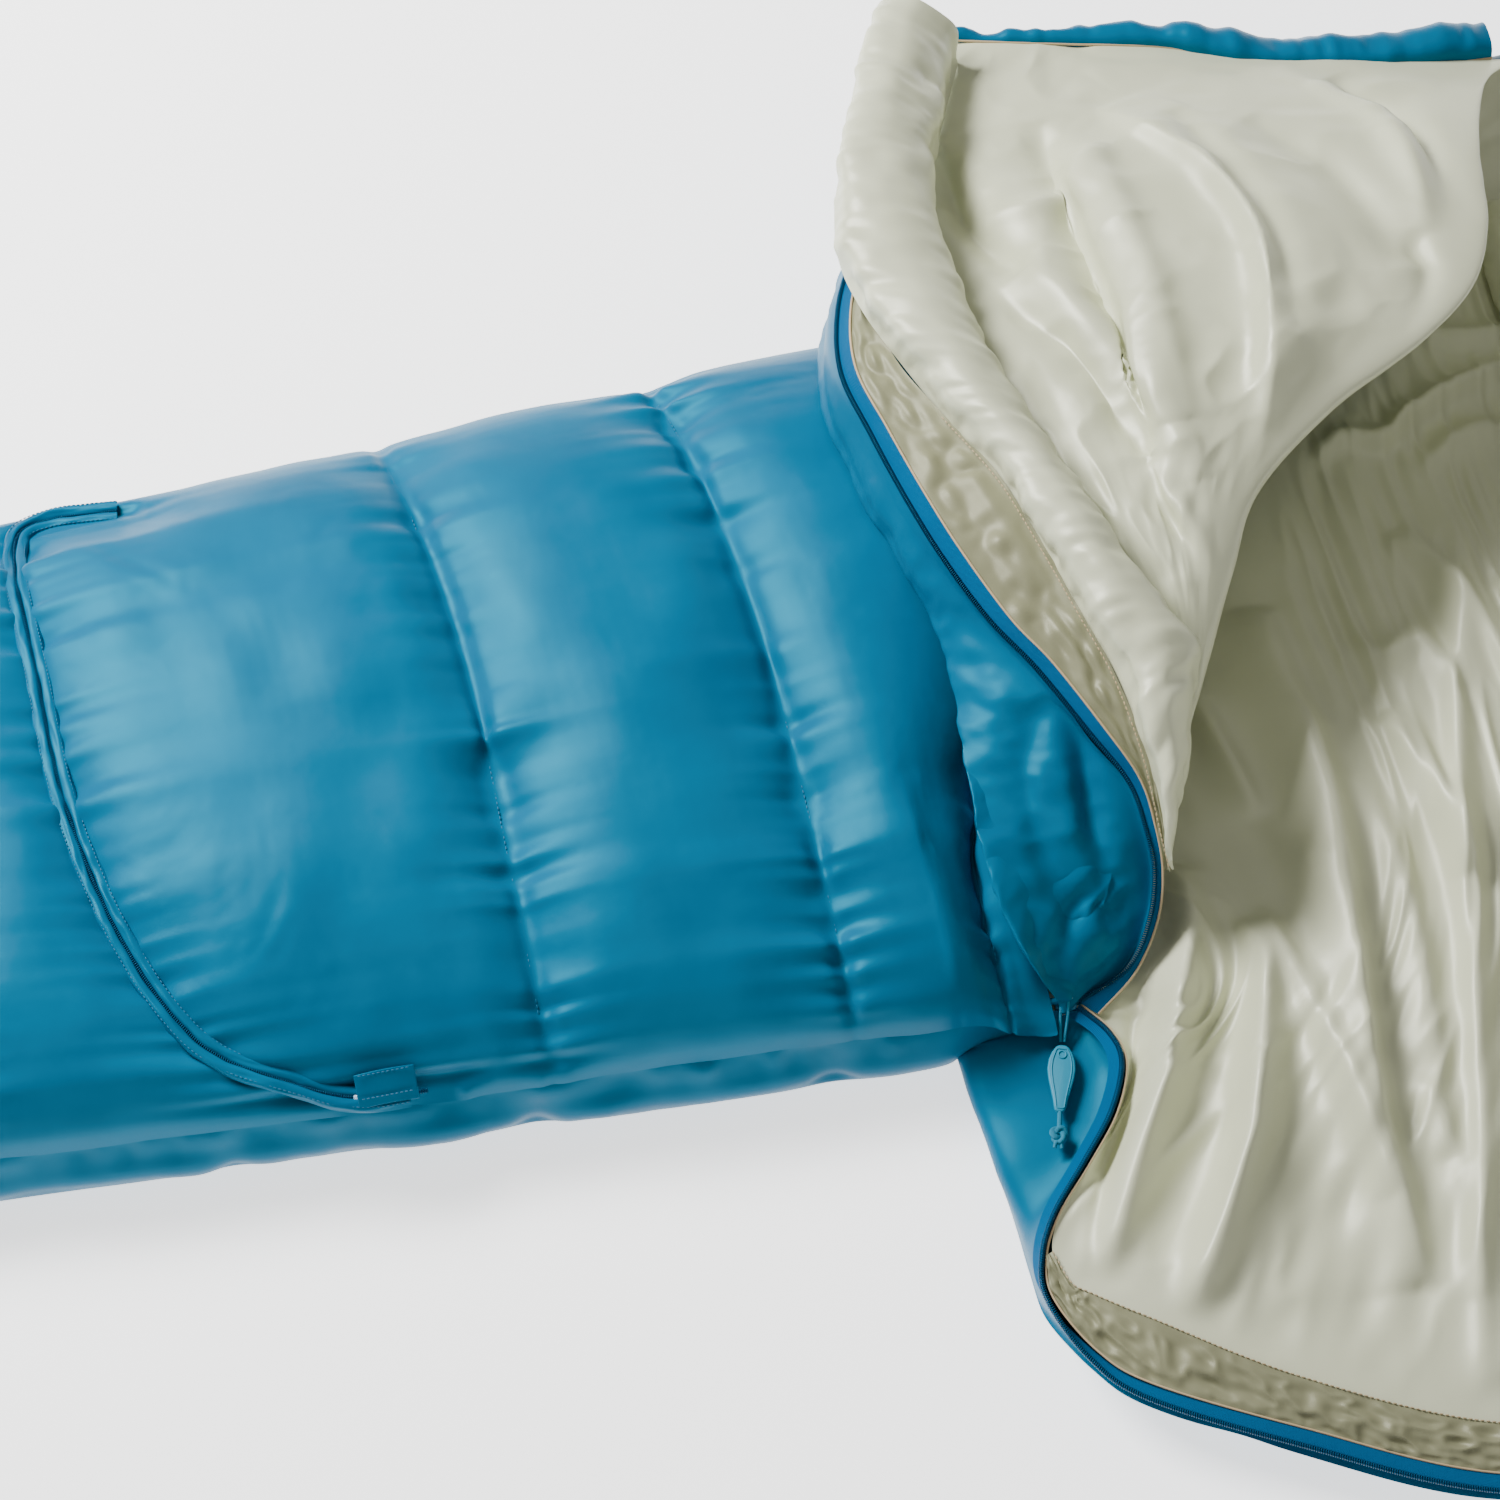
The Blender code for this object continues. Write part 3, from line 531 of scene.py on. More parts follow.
OUTER_LINE = near_zip([
    (12, -3, 42), (38, 14, 50), (55, 34, 68), (62, 56, 88),
    (61, 75, 106), (54, 99, 126), (35, 129, 140), (11, 175, 150),
    (-10, 220, 155), (-28, 266, 158), (-41, 314, 160), (-51, 362, 160),
    (-59, 410, 162), (-49, 464, 158), (-22, 520, 146), (10, 594, 132),
    (36, 656, 120)])
VALLEY_LINE = near_zip([
    (-1, -3, 48), (-14, 6, 66), (-27, 20, 90), (-36, 44, 108),
    (-39, 70, 116), (-39, 100, 119), (-35, 140, 120), (-28, 185, 120),
    (-23, 225, 120), (-27, 266, 120), (-34, 310, 119), (-42, 355, 117),
    (-44, 405, 112), (-34, 461, 100), (-10, 520, 85), (22, 592, 64),
    (48, 650, 52)])
UNDER_LINE = near_zip([
    (14, 12, 52), (10, 22, 68), (6, 36, 88), (8, 58, 104),
    (12, 84, 113), (18, 112, 118), (32, 148, 119), (46, 184, 119),
    (60, 220, 119), (74, 258, 119), (90, 300, 118), (120, 342, 116),
    (160, 388, 108), (190, 438, 94), (212, 492, 76), (228, 550, 58),
    (240, 610, 50)])
FOLD_LINE = near_zip([
    (20, 22, 60), (26, 34, 74), (36, 48, 88), (46, 66, 98),
    (58, 86, 104), (70, 108, 107), (86, 140, 109), (104, 175, 109),
    (120, 212, 109), (138, 252, 109), (166, 296, 109), (215, 340, 107),
    (275, 385, 102), (330, 432, 94), (365, 480, 80), (395, 530, 68),
    (425, 575, 60)])
DRAFT_OUT = near_zip([
    (73, 48, 104), (70, 64, 122), (67, 90, 146), (64, 114, 160),
    (58, 151, 172), (47, 192, 180), (30, 262, 186), (19, 299, 188),
    (-3, 347, 190), (-22, 397, 191), (-36, 440, 191), (-42, 483, 190),
    (-35, 528, 188), (-21, 567, 186), (-1, 625, 178), (18, 673, 168),
    (34, 706, 160)])
DRAFT_IN = near_zip([
    (77, 60, 106), (88, 82, 124), (100, 110, 140), (110, 137, 150),
    (118, 163, 158), (104, 194, 170), (81, 254, 176), (72, 284, 178),
    (62, 325, 179), (50, 368, 180), (42, 414, 179), (43, 457, 177),
    (42, 503, 174), (46, 550, 168), (60, 595, 160), (79, 640, 152),
    (95, 676, 146)])


def between_lines(a, b, share):
    return [tuple(np.array(p) * (1 - share) + np.array(q) * share) for p, q in zip(a, b)]


def lifted(line, height):
    return [(x, y, z + height) for x, y, z in line]


def spline(points, at):
    """A smooth curve through points, read where at counts points: 1.5 is halfway from second to third."""
    p = np.asarray(points, float)
    last = len(p) - 1
    p = np.vstack([2 * p[0] - p[1], p, 2 * p[-1] - p[-2]])
    start = np.clip(np.floor(at).astype(int), 0, last - 1)
    t = (at - start)[:, None]
    a, b, c, d = (p[start + k] for k in range(4))
    return 0.5 * (2 * b + (c - a) * t + (2 * a - 5 * b + 4 * c - d) * t ** 2
                  + (3 * b - a - 3 * c + d) * t ** 3)


def ladder(lines, along, across, guide=0):
    """A grid through matched lines: their points stay level with each other, evenly along the guide."""
    fine = np.linspace(0, len(lines[guide]) - 1, 800)
    line = spline(lines[guide], fine)
    run = np.concatenate([[0], np.cumsum(np.linalg.norm(np.diff(line, axis=0), axis=1))])
    at = np.interp(np.linspace(0, run[-1], along), run, fine)
    rows = np.array([spline(line, at) for line in lines])
    return np.array([catmull(rows[:, k], across) for k in range(along)])


WALL_CREASES = [
    ([(12, 160), (12, 147), (-2, 121), (-2, 88), (8, 57), (22, 40)], -7, 10, 16),
    ([(29, 162), (35, 123), (34, 94), (36, 65), (44, 49)], -12, 9, 13),
    ([(-10, 5), (4, 30), (21, 46), (38, 37), (56, 56)], -4, 8, 8),
    ([(18, 150), (22, 110), (20, 80), (26, 50)], 4, 10, 9),
    ([(0, 12), (20, 28), (40, 24)], 6, 10, 10)]


def flap_wall():
    """The flap's outer fabric: up from its fold, over the tube, round its thick edge to the zip."""
    bulge = between_lines(OUTER_LINE, VALLEY_LINE, 0.55)
    bulge = [(x - 0.010, y - 0.003, z) for x, y, z in bulge]
    lines = [lifted(between_lines(COIL_LINE, OUTER_LINE, 0.28), 0.001), OUTER_LINE, bulge, VALLEY_LINE,
             UNDER_LINE, FOLD_LINE]
    grid = ladder(lines, 210, 64)
    wave = noise(3, grid.shape[:2], (26, 5), 3)
    fade = smoothstep(np.arange(64) / 64.0, 0.03, 0.14)[None, :]
    grid = puffed(grid, wave * fade * 0.0028)
    grid = folds(grid, WALL_CREASES)
    piece = grid_object("flap_shell_skin", grid)
    dress(piece, SHELL, FOLD_BLEND,
          ["flap_shell", "flap_chamber_hip", "flap_chamber_chest", "flap_chamber_shoulder"])


def ribbon_between(name, a, b, material, body, replaces=(), crinkle=0.0, first=0):
    """A strip of cloth between two matched lines, crumpled if asked; first is the point where it starts."""
    along = 240
    grid = ladder([a[first:], between_lines(a[first:], b[first:], 0.5), b[first:]], along, 14)
    if crinkle:
        bump = 0.6 - 1.4 * np.abs(noise(11, grid.shape[:2], (along / 9, 2), 2))
        edge = np.sin(np.linspace(0, math.pi, 14)) ** 0.7
        grid = puffed(grid, bump * edge[None, :] * crinkle)
    return dress(grid_object(name, grid), material, body, replaces)


def tube_along(name, line, radius, material, body, count=200, sides=8, replaces=()):
    """A thin round cord or thread along a smooth line."""
    grid = sweep(catmull(line, count), radius, sides)
    return dress(grid_object(name, grid, closed=True), material, body, replaces, subdivide=0)


def frames_along(path):
    """Two directions across a path at each point, turning as little as they can."""
    run = np.gradient(path, axis=0)
    run /= np.maximum(np.linalg.norm(run, axis=1, keepdims=True), 1e-12)
    side = np.cross(run[0], (0.0, 0.0, 1.0))
    if np.linalg.norm(side) < 0.1:
        side = np.cross(run[0], (1.0, 0.0, 0.0))
    sides = []
    for direction in run:
        side = side - direction * (side @ direction)
        side = side / np.linalg.norm(side)
        sides.append(side)
    sides = np.array(sides)
    return sides, np.cross(run, sides)


def sweep(path, radius, sides):
    """Rings of points round a path, as a grid that closes on itself."""
    a, b = frames_along(path)
    turn = np.linspace(0, 2 * math.pi, sides, endpoint=False)
    return (path[:, None] + radius * (a[:, None] * np.cos(turn)[None, :, None]
                                      + b[:, None] * np.sin(turn)[None, :, None]))


COIL_PITCH = 0.0014
COIL_RADIUS = 0.00155
COIL_WIRE = 0.00042


def coil_along(name, line, body, replaces):
    """A zip's coil: one fine wire wound round and round the line."""
    turns = int(line_length(line) / COIL_PITCH)
    steps = 7
    path = catmull(line, turns * steps + 1)
    a, b = frames_along(path)
    angle = np.arange(len(path)) * (2 * math.pi / steps)
    wire = path + COIL_RADIUS * (a * np.cos(angle)[:, None] + b * np.sin(angle)[:, None])
    grid = sweep(wire, COIL_WIRE, 4)
    return dress(grid_object(name, grid, closed=True), COIL, body, replaces, subdivide=0)


def line_length(line):
    path = catmull(line, 300)
    return float(np.linalg.norm(np.diff(path, axis=0), axis=1).sum())


THREAD_RADIUS = 0.00042


def stitches(name, line, material, body, pitch=0.0034):
    """Short thread dashes along a line, as one piece. Each fills three quarters of its pitch."""
    count = int(line_length(line) / pitch)
    path = catmull(line, count * 4 + 1)
    verts, quads = [], []
    for index in range(count):
        a, b = path[index * 4], path[index * 4 + 3]
        run = (b - a) / max(np.linalg.norm(b - a), 1e-9)
        side = np.cross(run, (0, 0, 1.0))
        side /= max(np.linalg.norm(side), 1e-9)
        up = np.cross(side, run)
        base = len(verts)
        for at, size in ((a, 0.35), (a * 0.75 + b * 0.25, 1.0), (a * 0.25 + b * 0.75, 1.0), (b, 0.35)):
            for turn in range(6):
                angle = turn * math.pi / 3
                verts.append(at + THREAD_RADIUS * size * (side * math.cos(angle) + up * math.sin(angle)))
        for ring in range(3):
            for turn in range(6):
                one, two = base + ring * 6 + turn, base + ring * 6 + (turn + 1) % 6
                quads.append((one, two, two + 6, one + 6))
        quads.append(tuple(base + k for k in range(5, -1, -1)))
        quads.append(tuple(base + 18 + k for k in range(6)))
    mesh = bpy.data.meshes.new(name)
    mesh.from_pydata([tuple(v) for v in verts], [], quads)
    mesh.uv_layers.new(name="metres")
    return dress(placed(name, mesh), material, body, subdivide=0)


def draft_tube():
    """A soft roll stitched beside the zip, puckered across all along its length."""
    middle = lifted(between_lines(DRAFT_OUT, DRAFT_IN, 0.5), 0.030)
    left = lifted(between_lines(DRAFT_OUT, DRAFT_IN, 0.12), 0.020)
    right = lifted(between_lines(DRAFT_OUT, DRAFT_IN, 0.88), 0.018)
    middle[0] = tuple(np.array(middle[0]) - (0, 0, 0.024))
    left[0] = tuple(np.array(left[0]) - (0, 0, 0.016))
    right[0] = tuple(np.array(right[0]) - (0, 0, 0.014))
    foot_out = [(x + 0.004, y, z - 0.004) for x, y, z in DRAFT_OUT]
    foot_in = [(x - 0.004, y - 0.002, z - 0.012) for x, y, z in DRAFT_IN]
    grid = ladder([foot_out, left, middle, right, foot_in], 230, 44)
    pucker = noise(21, grid.shape[:2], (58, 2), 2)
    broad = noise(22, grid.shape[:2], (16, 3), 2)
    across = np.linspace(0, 1, 44)
    hold = (0.35 + 0.65 * np.abs(across - 0.5) * 2) * smoothstep(np.minimum(across, 1 - across), 0, 0.06)
    grid = puffed(grid, (pucker * 0.0030 + broad * 0.0040) * hold[None, :])
    piece = grid_object("draft_tube_roll", grid)
    dress(piece, LINING, FOLD_BLEND, ["draft_tube"])


LOBE_CREST = [     # across each row: at the draft tube, on the crown, at the ridge, inside the mouth
    [(74, 62, 106), (74, 63, 105), (76, 64, 100), (30, 86, 74)],
    [(90, 112, 124), (92, 113, 126), (98, 114, 124), (40, 136, 74)],
    [(108, 160, 146), (113, 160, 148), (122, 158, 142), (55, 185, 74)],
    [(90, 222, 166), (122, 220, 176), (152, 215, 162), (75, 250, 74)],
    [(68, 284, 172), (125, 274, 188), (179, 263, 173), (105, 300, 74)],
    [(48, 350, 172), (140, 332, 196), (237, 309, 182), (150, 350, 74)],
    [(36, 410, 172), (160, 385, 198), (298, 343, 187), (200, 395, 74)],
    [(37, 460, 168), (180, 440, 194), (347, 383, 186), (260, 445, 74)],
    [(34, 510, 158), (185, 495, 184), (373, 433, 181), (310, 495, 78)],
    [(32, 562, 148), (190, 550, 168), (391, 500, 168), (350, 540, 84)],
    [(40, 618, 138), (190, 600, 152), (414, 560, 144), (395, 580, 98)],
    [(56, 660, 132), (180, 642, 140), (436, 600, 122), (425, 604, 100)],
    [(80, 697, 134), (190, 672, 130), (466, 622.5, 106.8), (462, 620, 104)],
]


def lobe_rows():
    """Whole rows: past the ridge the lining turns back under itself before it goes into the mouth."""
    rows = []
    for inner, crown, ridge, mouth in LOBE_CREST:
        reach = (ridge[2] - 70) / 115
        turn = tuple(np.array(ridge) + np.array((4, 12, -22)) * reach)
        under = tuple(np.array(ridge) + np.array((-14, 44, -70)) * reach)
        rows.append([inner, crown, ridge, turn, under, mouth])
    return rows


def level_row(row, share):
    """A smooth row read at shares counted in its own points, so that the ridges of rows stay level."""
    line = catmull(row, 400)
    marks = [int(np.linalg.norm(line - np.array(point), axis=1).argmin()) for point in row]
    return spline(line, np.interp(share, range(len(row)), marks))


LOBE_CREASES = [
    ([(175, 600), (183, 577), (197, 550), (215, 509), (226, 452), (224, 409),
      (212, 354), (199, 306), (176, 250)], 18, 40, 9),
    ([(215, 580), (238, 509), (247, 452), (243, 400), (230, 350)], -10, 10, 20),
    ([(126, 600), (122, 504), (122, 454), (122, 396), (122, 340), (124, 300)],
     -18, 13, 16),
    ([(150, 560), (152, 500), (153, 440), (150, 380), (148, 310)], 10, 14, 30),
    ([(54, 470), (70, 425), (93, 391), (107, 352), (117, 302), (125, 250),
      (125, 210)], -10, 14, 16),
    ([(80, 470), (98, 430), (118, 380), (134, 330), (144, 270)], 10, 16, 12),
    ([(340, 610), (351, 588), (365, 564), (376, 531), (379, 486), (375, 440)],
     -18, 12, 12),
    ([(320, 600), (345, 555), (352, 520), (352, 470), (345, 430)], 10, 20, 10),
    ([(340, 430), (336, 417), (338, 397), (324, 371), (301, 351)], -14, 8, 10),
    ([(106, 300), (113, 272), (122, 253), (128, 228), (132, 195)], -3, 10, 10),
    ([(120, 292), (130, 262), (137, 235), (140, 205)], 8, 8, 8),
    ([(59, 600), (57, 537), (64, 497), (78, 460)], -14, 12, 14),
    ([(260, 560), (300, 510), (318, 450), (318, 400)], -7, 16, 24),
    ([(70, 520), (100, 512), (135, 530), (160, 560)], 8, 12, 16),
    ([(65, 480), (120, 470), (175, 480)], 2, 3, 3),
]


def flap_lining():
    """The flap's lining: the turned-back lobe in sight, its ridge, and the way back into the mouth."""
    rows = [near_zip(row) for row in lobe_rows()]
    share = np.interp(np.linspace(0, 1, 160), (0, 0.34, 0.66, 0.75, 0.86, 1), range(6))
    level = np.array([level_row(row, share) for row in rows])
    fine = np.linspace(0, len(rows) - 1, 800)
    ridge = spline([row[2] for row in rows], fine)
    run = np.concatenate([[0], np.cumsum(np.linalg.norm(np.diff(ridge, axis=0), axis=1))])
    at = np.interp(np.linspace(0, run[-1], 180), run, fine)
    grid = np.stack([spline(level[:, k], at) for k in range(160)])
    smooth = grid
    grid = folds(grid, LOBE_CREASES, tall=1.25)
    crumple = noise(42, grid.shape[:2], (9, 16), 2)
    grid = puffed(grid, (0.5 - np.abs(crumple)) * 0.0030)
    ridge_gap, _, _ = nearest(smooth, catmull([row[2] for row in rows], 60))
    calm = 0.12 + 0.88 * smoothstep(ridge_gap, 0.004, 0.042)
    grid = smooth + (grid - smooth) * calm[..., None]
    pinned = np.zeros(grid.shape[:2])
    pinned[ridge_gap < 0.006] = 1
    pinned[0] = pinned[-1] = 1
    pinned[:, 0] = pinned[:, -1] = 1
    pinned[-26:] = 1
    grid = drape("lobe_cloth", grid, pinned, cut=(1.02, 1.02), pressure=0.25, frames=18, cap=0.010)
    piece = grid_object("flap_lining_skin", grid)
    dress(piece, LINING, FOLD_BLEND, ["flap_lining"])


HEM_LINE = near_zip([(80, 697, 134.5), (120, 687, 133.5), (171, 676, 131.5), (233, 664, 127.5),
                     (259, 653, 125.5), (291, 640, 121.5), (340, 630, 117.5), (381, 624, 114.5),
                     (418, 622, 111), (466, 622.5, 107)])


def hem():
    """The shell fabric rolled over the flap's neck edge, and the seam along it."""
    drop = [(0.0, -0.0005, -0.0005), (0.0, 0.004, 0.0085), (0.002, 0.020, 0.007), (0.003, 0.029, -0.010),
            (0.003, 0.025, -0.040), (0.0, 0.005, -0.062), (0.0, -0.045, -0.068)]
    swell = np.interp(np.arange(len(HEM_LINE)), (0, 2, 4, 6, 9), (0.45, 0.60, 0.95, 1.25, 1.30))
    lines = [[(x + dx, y + dy * (full if dy > 0 else 1), max(z + dz * (full if dz > 0 else 1), 0.030))
              for (x, y, z), full in zip(HEM_LINE, swell)] for dx, dy, dz in drop]
    grid = ladder(lines, 150, 40)
    fade = smoothstep(np.arange(40) / 40, 0.0, 0.10)[None, :]
    wave = noise(31, grid.shape[:2], (9, 3), 2) * 0.0035 + noise(32, grid.shape[:2], (30, 3), 2) * 0.0020
    grid = puffed(grid, wave * fade)
    grid[..., 1] = np.minimum(grid[..., 1], BACK_Y)
    piece = grid_object("neck_hem_roll", grid)
    dress(piece, SHELL, FOLD_BLEND, ["neck_hem"])
    side = near_zip([(42, 650, 132), (34, 656, 118), (38, 654, 85), (46, 650, 52)])
    end = near_zip([(80, 696.5, 134), (83, 718, 138), (84, 722, 94.5), (80, 690, 68)])
    round_out = [(x - 0.010, y + 0.010, z) for x, y, z in between_lines(side, end, 0.5)]
    corner = ladder([side, round_out, end], 30, 24)
    corner = puffed(corner, 0.0025 * noise(35, corner.shape[:2], (4, 4), 2))
    piece = grid_object("flap_corner_skin", corner)
    dress(piece, SHELL, FOLD_BLEND)
    tube_along("neck_hem_piping", lifted(HEM_LINE, 0.001), 0.0009, PIPING, FOLD_BLEND)


def flap():
    flap_wall()
    ribbon_between("flap_tape", between_lines(COIL_LINE, TAN_LINE, 0.12), TAN_LINE, TAPE, FOLD_BLEND,
                   ["flap_zip_tape"])
    coil_along("flap_coil", COIL_LINE, FOLD_BLEND, ["flap_zip_chain"])
    tube_along("flap_piping", lifted(TAN_LINE, 0.0006), 0.0008, PIPING, FOLD_BLEND)
    strip = ribbon_between("flap_facing_strip", TAN_LINE,
                           [(x + 0.004, y, z - 0.002) for x, y, z in DRAFT_MATCH],
                           FACING, FOLD_BLEND, ["flap_facing"], crinkle=0.0035, first=3)
    stitches("draft_tube_stitches", lifted(DRAFT_OUT[:9], 0.0015), PIPING, FOLD_BLEND)
    draft_tube()
    flap_lining()
    hem()


DRAFT_MATCH = near_zip([
    (19, -13, 42), (49, 6, 50), (68, 28, 70), (73, 50, 100),
    (70, 66, 122), (67, 92, 147), (62, 128, 164), (52, 175, 177),
    (43, 213, 181), (30, 262, 186), (16, 308, 189), (-5, 352, 190),
    (-24, 402, 188), (-26, 455, 182), (-2, 510, 172), (30, 582, 156),
    (54, 644, 144)])


# C. The lower half: shell, lining, facing and zip

WALL_TOP = near_zip([     # the lower coil, from the slider round the spread corner to the neck
    (7, -4, 42.5), (20, -28, 49), (22, -50, 51), (8, -79, 50),
    (-16, -107, 49), (-42, -135, 46), (-56, -160, 43), (-59, -186, 40),
    (-43, -225, 36.5), (-15, -256, 35.5), (63, -301, 35.5), (169, -352, 35.5),
    (310, -375, 35.5), (427, -330, 35.5)])
TAPE_TURN = [(-8, -2, -3), (-8, 0, -3), (-8, 1, -3), (-8, 2, -3),
             (-7, 3, -4), (-7, 2, -5), (-5, 0, -7), (1, 1, -7),
             (6, 3, -4), (6, 7, -1), (4.5, 9, 0), (3.5, 9.5, 0),
             (0, 10, 0), (-4, 9, 0)]
TAN_TURN = [(3, 1, -1), (3, 0, -1), (3, -1, -1), (3, -2, -1),
            (3, -2, -1), (3, -1, -1), (3, 0, -1), (4, 1, -1),
            (6, 3.5, -1), (6, 7.5, 0), (4.8, 9.5, 0), (3.7, 10, 0),
            (0, 10.5, 0), (-4, 9.5, 0)]
FACING_IN = near_zip([
    (10, -5, 39.5), (22, -30, 47), (25, -51, 50), (11, -81, 49),
    (-13, -109, 48), (-38, -135, 45), (-49, -158, 43), (-43, -179, 42),
    (-33, -188, 42), (-3, -210, 42), (75, -264, 41), (179, -314, 40),
    (310, -338, 40), (420, -298, 40)])
SKIN_OUT = near_zip([
    (-67, -12, 32), (-66, -30, 29), (-65, -47, 27), (-63, -76, 25),
    (-61, -106, 22), (-59.5, -135, 20), (-59, -160, 19), (-56, -186, 18),
    (-37, -221, 18), (-10, -249, 18), (67, -293, 18), (172, -343, 18),
    (310, -366, 18), (424, -321, 18)])


def moved(line, steps):
    """A line with each point moved by its own step, in millimetres."""
    return [tuple(np.array(p) + np.array(q) / 1000) for p, q in zip(line, steps)]


LOWER_TAPE_EDGE = moved(WALL_TOP, TAPE_TURN)
LOWER_TAN = moved(WALL_TOP, TAN_TURN)
HOOD_MIDDLE = ZIP[1] + 0.126
HOOD_REACH = 0.451


def gathers(grid, gap, seed, pitch, height, reach, axis):
    """Short puckers that start at a seam and die away from it; gap is the distance to the seam."""
    rows, columns = grid.shape[:2]
    count = rows if axis == 0 else columns
    length = np.linalg.norm(np.diff(grid, axis=axis), axis=2).mean() * count
    bumps = max(int(length / pitch), 4)
    turn = 1 if axis == 0 else -1
    fine = noise(seed, (rows, columns), (bumps, 2)[::turn], 2)
    long = noise(seed + 1, (rows, columns), (bumps / 2, 1)[::turn], 1)
    decay = np.exp(-gap / reach) * smoothstep(gap, 0.0, reach * 0.25)
    far = np.exp(-gap / (reach * 2.4)) * smoothstep(gap, 0.0, reach * 0.5)
    return puffed(grid, (fine * decay + 0.8 * long * far) * height)


def outline_rows():
    """The skin's top edge and its widest line, all round the bag counter-clockwise from the foot's middle."""
    top, out = [], []

    def put(x, y, z, dx, dy, low):
        top.append((x, y, z))
        out.append((x + dx, y + dy, low))

    def foot_middle(across):
        put(FOOT_X + 0.012, AXIS_Y + across, SEAM_Z - 0.006, -0.012, 0, 0.026)

    def foot_corner(turn, side):
        c, s = math.cos(math.radians(turn)), math.sin(math.radians(turn))
        x, y = FOOT_X + FOOT_ROUND * (1 - c), AXIS_Y + side * (FOOT_HALF - FOOT_ROUND * (1 - s))
        put(x + 0.012 * c, y - side * 0.006 * s, SEAM_Z - 0.006 * c, -0.012 * c, side * 0.012 * s, 0.026)

    for across in (-0.05, -0.11):
        foot_middle(across)
    for turn in (20, 45, 70):
        foot_corner(turn, -1)
    for x in (-0.70, -0.62, -0.52, -0.42, -0.32, -0.22, -0.12, -0.05):
        put(x, AXIS_Y - half_width(x) + 0.005, SEAM_Z + 0.001, 0, -0.015, 0.026)
    put(ZIP[0] - 0.058, ZIP[1] - 0.006, SEAM_Z - 0.002, -0.016, -0.010, 0.028)
    put(ZIP[0] - 0.022, ZIP[1] - 0.004, SEAM_Z - 0.004, -0.046, -0.006, 0.031)
    for (x, y, z), (ox, oy, oz) in zip(WALL_TOP, SKIN_OUT):
        put(x, y, z - 0.0015, ox - x, oy - y, oz)
    for a, b in ((0.20, -0.975), (0.38, -0.94), (0.58, -0.85), (0.74, -0.72), (0.87, -0.56), (0.95, -0.38),
                 (0.99, -0.19), (1.0, 0.0), (0.99, 0.19), (0.95, 0.38), (0.87, 0.56), (0.74, 0.72), (0.58, 0.85),
                 (0.38, 0.94), (0.20, 0.975)):
        x, y = NECK_X + (HEAD_X - NECK_X) * a, HOOD_MIDDLE + HOOD_REACH * b
        put(x - 0.006 * a, y - 0.006 * b, 0.0355, 0.008 * a, 0.008 * b, 0.018)
    for x, rise, shift in ((NECK_X, 0.045, 0.045), (0.42, 0.052, 0.038), (0.33, SEAM_Z, 0.023),
                           (0.24, SEAM_Z, 0.010)):
        put(x, AXIS_Y + half_width(x) + shift, rise, 0, 0.008, 0.022)
    for x in (0.14, 0.04, -0.08, -0.20, -0.32, -0.44, -0.56, -0.66, -0.72):
        put(x, AXIS_Y + half_width(x) - 0.005, SEAM_Z + 0.001, 0, 0.015, 0.026)
    for turn in (70, 45, 20):
        foot_corner(turn, 1)
    for across in (0.11, 0.05):
        foot_middle(across)
    return top + top[:1], out + out[:1]


